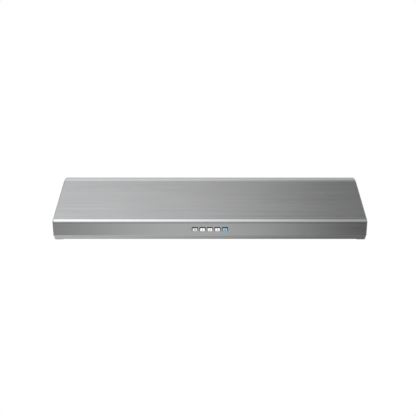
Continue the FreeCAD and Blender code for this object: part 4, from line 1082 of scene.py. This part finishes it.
# Levels are shares of LIGHT_GAIN, over the angle round the X axis or over the width from left
# to right. The angle starts and ends in front: 0.25 is below, 0.5 behind and 0.75 above.
LIGHT_GAIN = 4.0
AROUND_LEVELS = [
    (0.0, 0.17), (0.03, 0.10), (0.07, 0.13), (0.11, 0.23), (0.18, 0.26), (0.25, 0.28), (0.36, 0.21),
    (0.45, 0.20), (0.5, 0.18), (0.53, 0.20), (0.57, 0.34), (0.61, 0.46), (0.64, 0.20), (0.66, 0.16),
    (0.675, 0.24), (0.71, 0.64), (0.76, 0.66), (0.85, 0.54), (0.93, 0.44), (0.985, 0.32),
]
UPPER_LEVELS = [
    (0.0, 0.30), (0.18, 0.33), (0.32, 0.60), (0.40, 1.0), (0.44, 0.96), (0.48, 0.82),
    (0.51, 0.68), (0.54, 0.48), (0.57, 0.29), (0.62, 0.23), (0.75, 0.33), (1.0, 0.5),
]
LOWER_LEVELS = [
    (0.0, 0.6), (0.25, 0.4), (0.36, 0.30), (0.42, 0.44), (0.455, 0.90), (0.48, 1.0), (0.51, 0.95),
    (0.54, 0.62), (0.58, 0.12), (0.64, 0.06), (0.75, 0.3), (1.0, 0.6),
]
REAR_BOX_AROUND = [(0.0, 0.0), (0.31, 0.0), (0.38, 1.0), (0.45, 1.0), (0.49, 0.0), (1.0, 0.0)]
REAR_BOX_ACROSS = [(0.0, 1.0), (0.28, 1.0), (0.38, 0.0), (0.62, 0.0), (0.72, 1.0), (1.0, 1.0)]
REAR_BOX_GAIN = 0.6
EVEN_SHARE = [(0.0, 0.0), (0.44, 0.0), (0.48, 0.85), (0.575, 0.85), (0.64, 0.0), (1.0, 0.0)]
EVEN_LEVEL = 0.64
LOWER_SHARE = [(0.0, 0.6), (0.03, 1.0), (0.17, 1.0), (0.24, 0.0), (0.97, 0.0), (1.0, 0.6)]


def ramp(tree, value, stops):
    """Colour ramp of grey levels over (place, level) stops."""
    made = tree.nodes.new("ShaderNodeValToRGB")
    made.color_ramp.interpolation = "EASE"
    points = made.color_ramp.elements
    while len(points) < len(stops):
        points.new(0.5)
    # All places come first, because a colour would be lost if its stop changed its order.
    for point, (place, _) in zip(points, stops):
        point.position = place
    for point, (_, level) in zip(points, stops):
        point.color = (level, level, level, 1.0)
    tree.links.new(value, made.inputs[0])
    return made.outputs[0]


def studio_world():
    """White where seen directly, and soft boxes and flags where it lights the hood."""
    world = bpy.data.worlds.new("studio")
    bpy.context.scene.world = world
    world.use_nodes = True
    tree = world.node_tree
    tree.nodes.clear()

    def step(operation, a, b=None):
        made = tree.nodes.new("ShaderNodeMath")
        made.operation = operation
        for number, value in enumerate((a, b)):
            if isinstance(value, bpy.types.NodeSocket):
                tree.links.new(value, made.inputs[number])
            elif value is not None:
                made.inputs[number].default_value = value
        return made.outputs[0]

    toward = tree.nodes.new("ShaderNodeTexCoord").outputs["Generated"]
    split = tree.nodes.new("ShaderNodeSeparateXYZ")
    tree.links.new(toward, split.inputs[0])
    x, y, z = split.outputs
    turn = step("ARCTAN2", z, y)
    around = step("ADD", step("MULTIPLY", turn, 0.5 / math.pi), 0.5)
    profile = ramp(tree, around, AROUND_LEVELS)
    across = step("ADD", step("MULTIPLY", x, 0.5), 0.5)
    upper = ramp(tree, across, UPPER_LEVELS)
    lower = ramp(tree, across, LOWER_LEVELS)
    share = ramp(tree, around, LOWER_SHARE)
    from_above = step("MULTIPLY", upper, step("SUBTRACT", 1.0, share))
    sideways = step("ADD", from_above, step("MULTIPLY", lower, share))
    even = ramp(tree, around, EVEN_SHARE)
    kept = step("MULTIPLY", sideways, step("SUBTRACT", 1.0, even))
    sideways = step("ADD", kept, step("MULTIPLY", even, EVEN_LEVEL))
    rear_across = ramp(tree, across, REAR_BOX_ACROSS)
    behind = step("MULTIPLY", ramp(tree, around, REAR_BOX_AROUND), rear_across)
    front_light = step("MULTIPLY", step("MULTIPLY", profile, sideways), LIGHT_GAIN)
    level = step("ADD", front_light, step("MULTIPLY", behind, REAR_BOX_GAIN))
    lit = tree.nodes.new("ShaderNodeBackground")
    tree.links.new(level, lit.inputs["Strength"])
    seen = tree.nodes.new("ShaderNodeBackground")
    seen.inputs["Strength"].default_value = 1.0
    seen.inputs["Color"].default_value = (1.0, 1.0, 1.0, 1.0)
    path = tree.nodes.new("ShaderNodeLightPath")
    choose = tree.nodes.new("ShaderNodeMixShader")
    tree.links.new(path.outputs["Is Camera Ray"], choose.inputs[0])
    tree.links.new(lit.outputs[0], choose.inputs[1])
    tree.links.new(seen.outputs[0], choose.inputs[2])
    out = tree.nodes.new("ShaderNodeOutputWorld")
    tree.links.new(choose.outputs[0], out.inputs["Surface"])


studio_world()


def studio_floor():
    """White floor far below the hood, clear when looked at from underneath."""
    half = FLOOR_HALF
    mesh = bpy.data.meshes.new("studio_floor")
    z = cad_low[2] - FLOOR_DROP
    corners = [(-half, -half, z), (half, -half, z), (half, half, z), (-half, half, z)]
    mesh.from_pydata(corners, [], [(0, 1, 2, 3)])
    floor = bpy.data.objects.new("studio_floor", mesh)
    bpy.context.scene.collection.objects.link(floor)
    g = Graph("floor_white")
    white = g.node("ShaderNodeEmission", {"Color": (1.0, 1.0, 1.0, 1.0)}).outputs[0]
    clear = g.node("ShaderNodeBsdfTransparent").outputs[0]
    back = g.node("ShaderNodeNewGeometry").outputs["Backfacing"]
    both = g.node("ShaderNodeMixShader", {0: back, 1: white, 2: clear}).outputs[0]
    g.tree.links.new(both, g.output.inputs["Surface"])
    mesh.materials.append(g.material)
    floor.visible_glossy = False
    floor.visible_diffuse = False
    floor.visible_shadow = False


studio_floor()
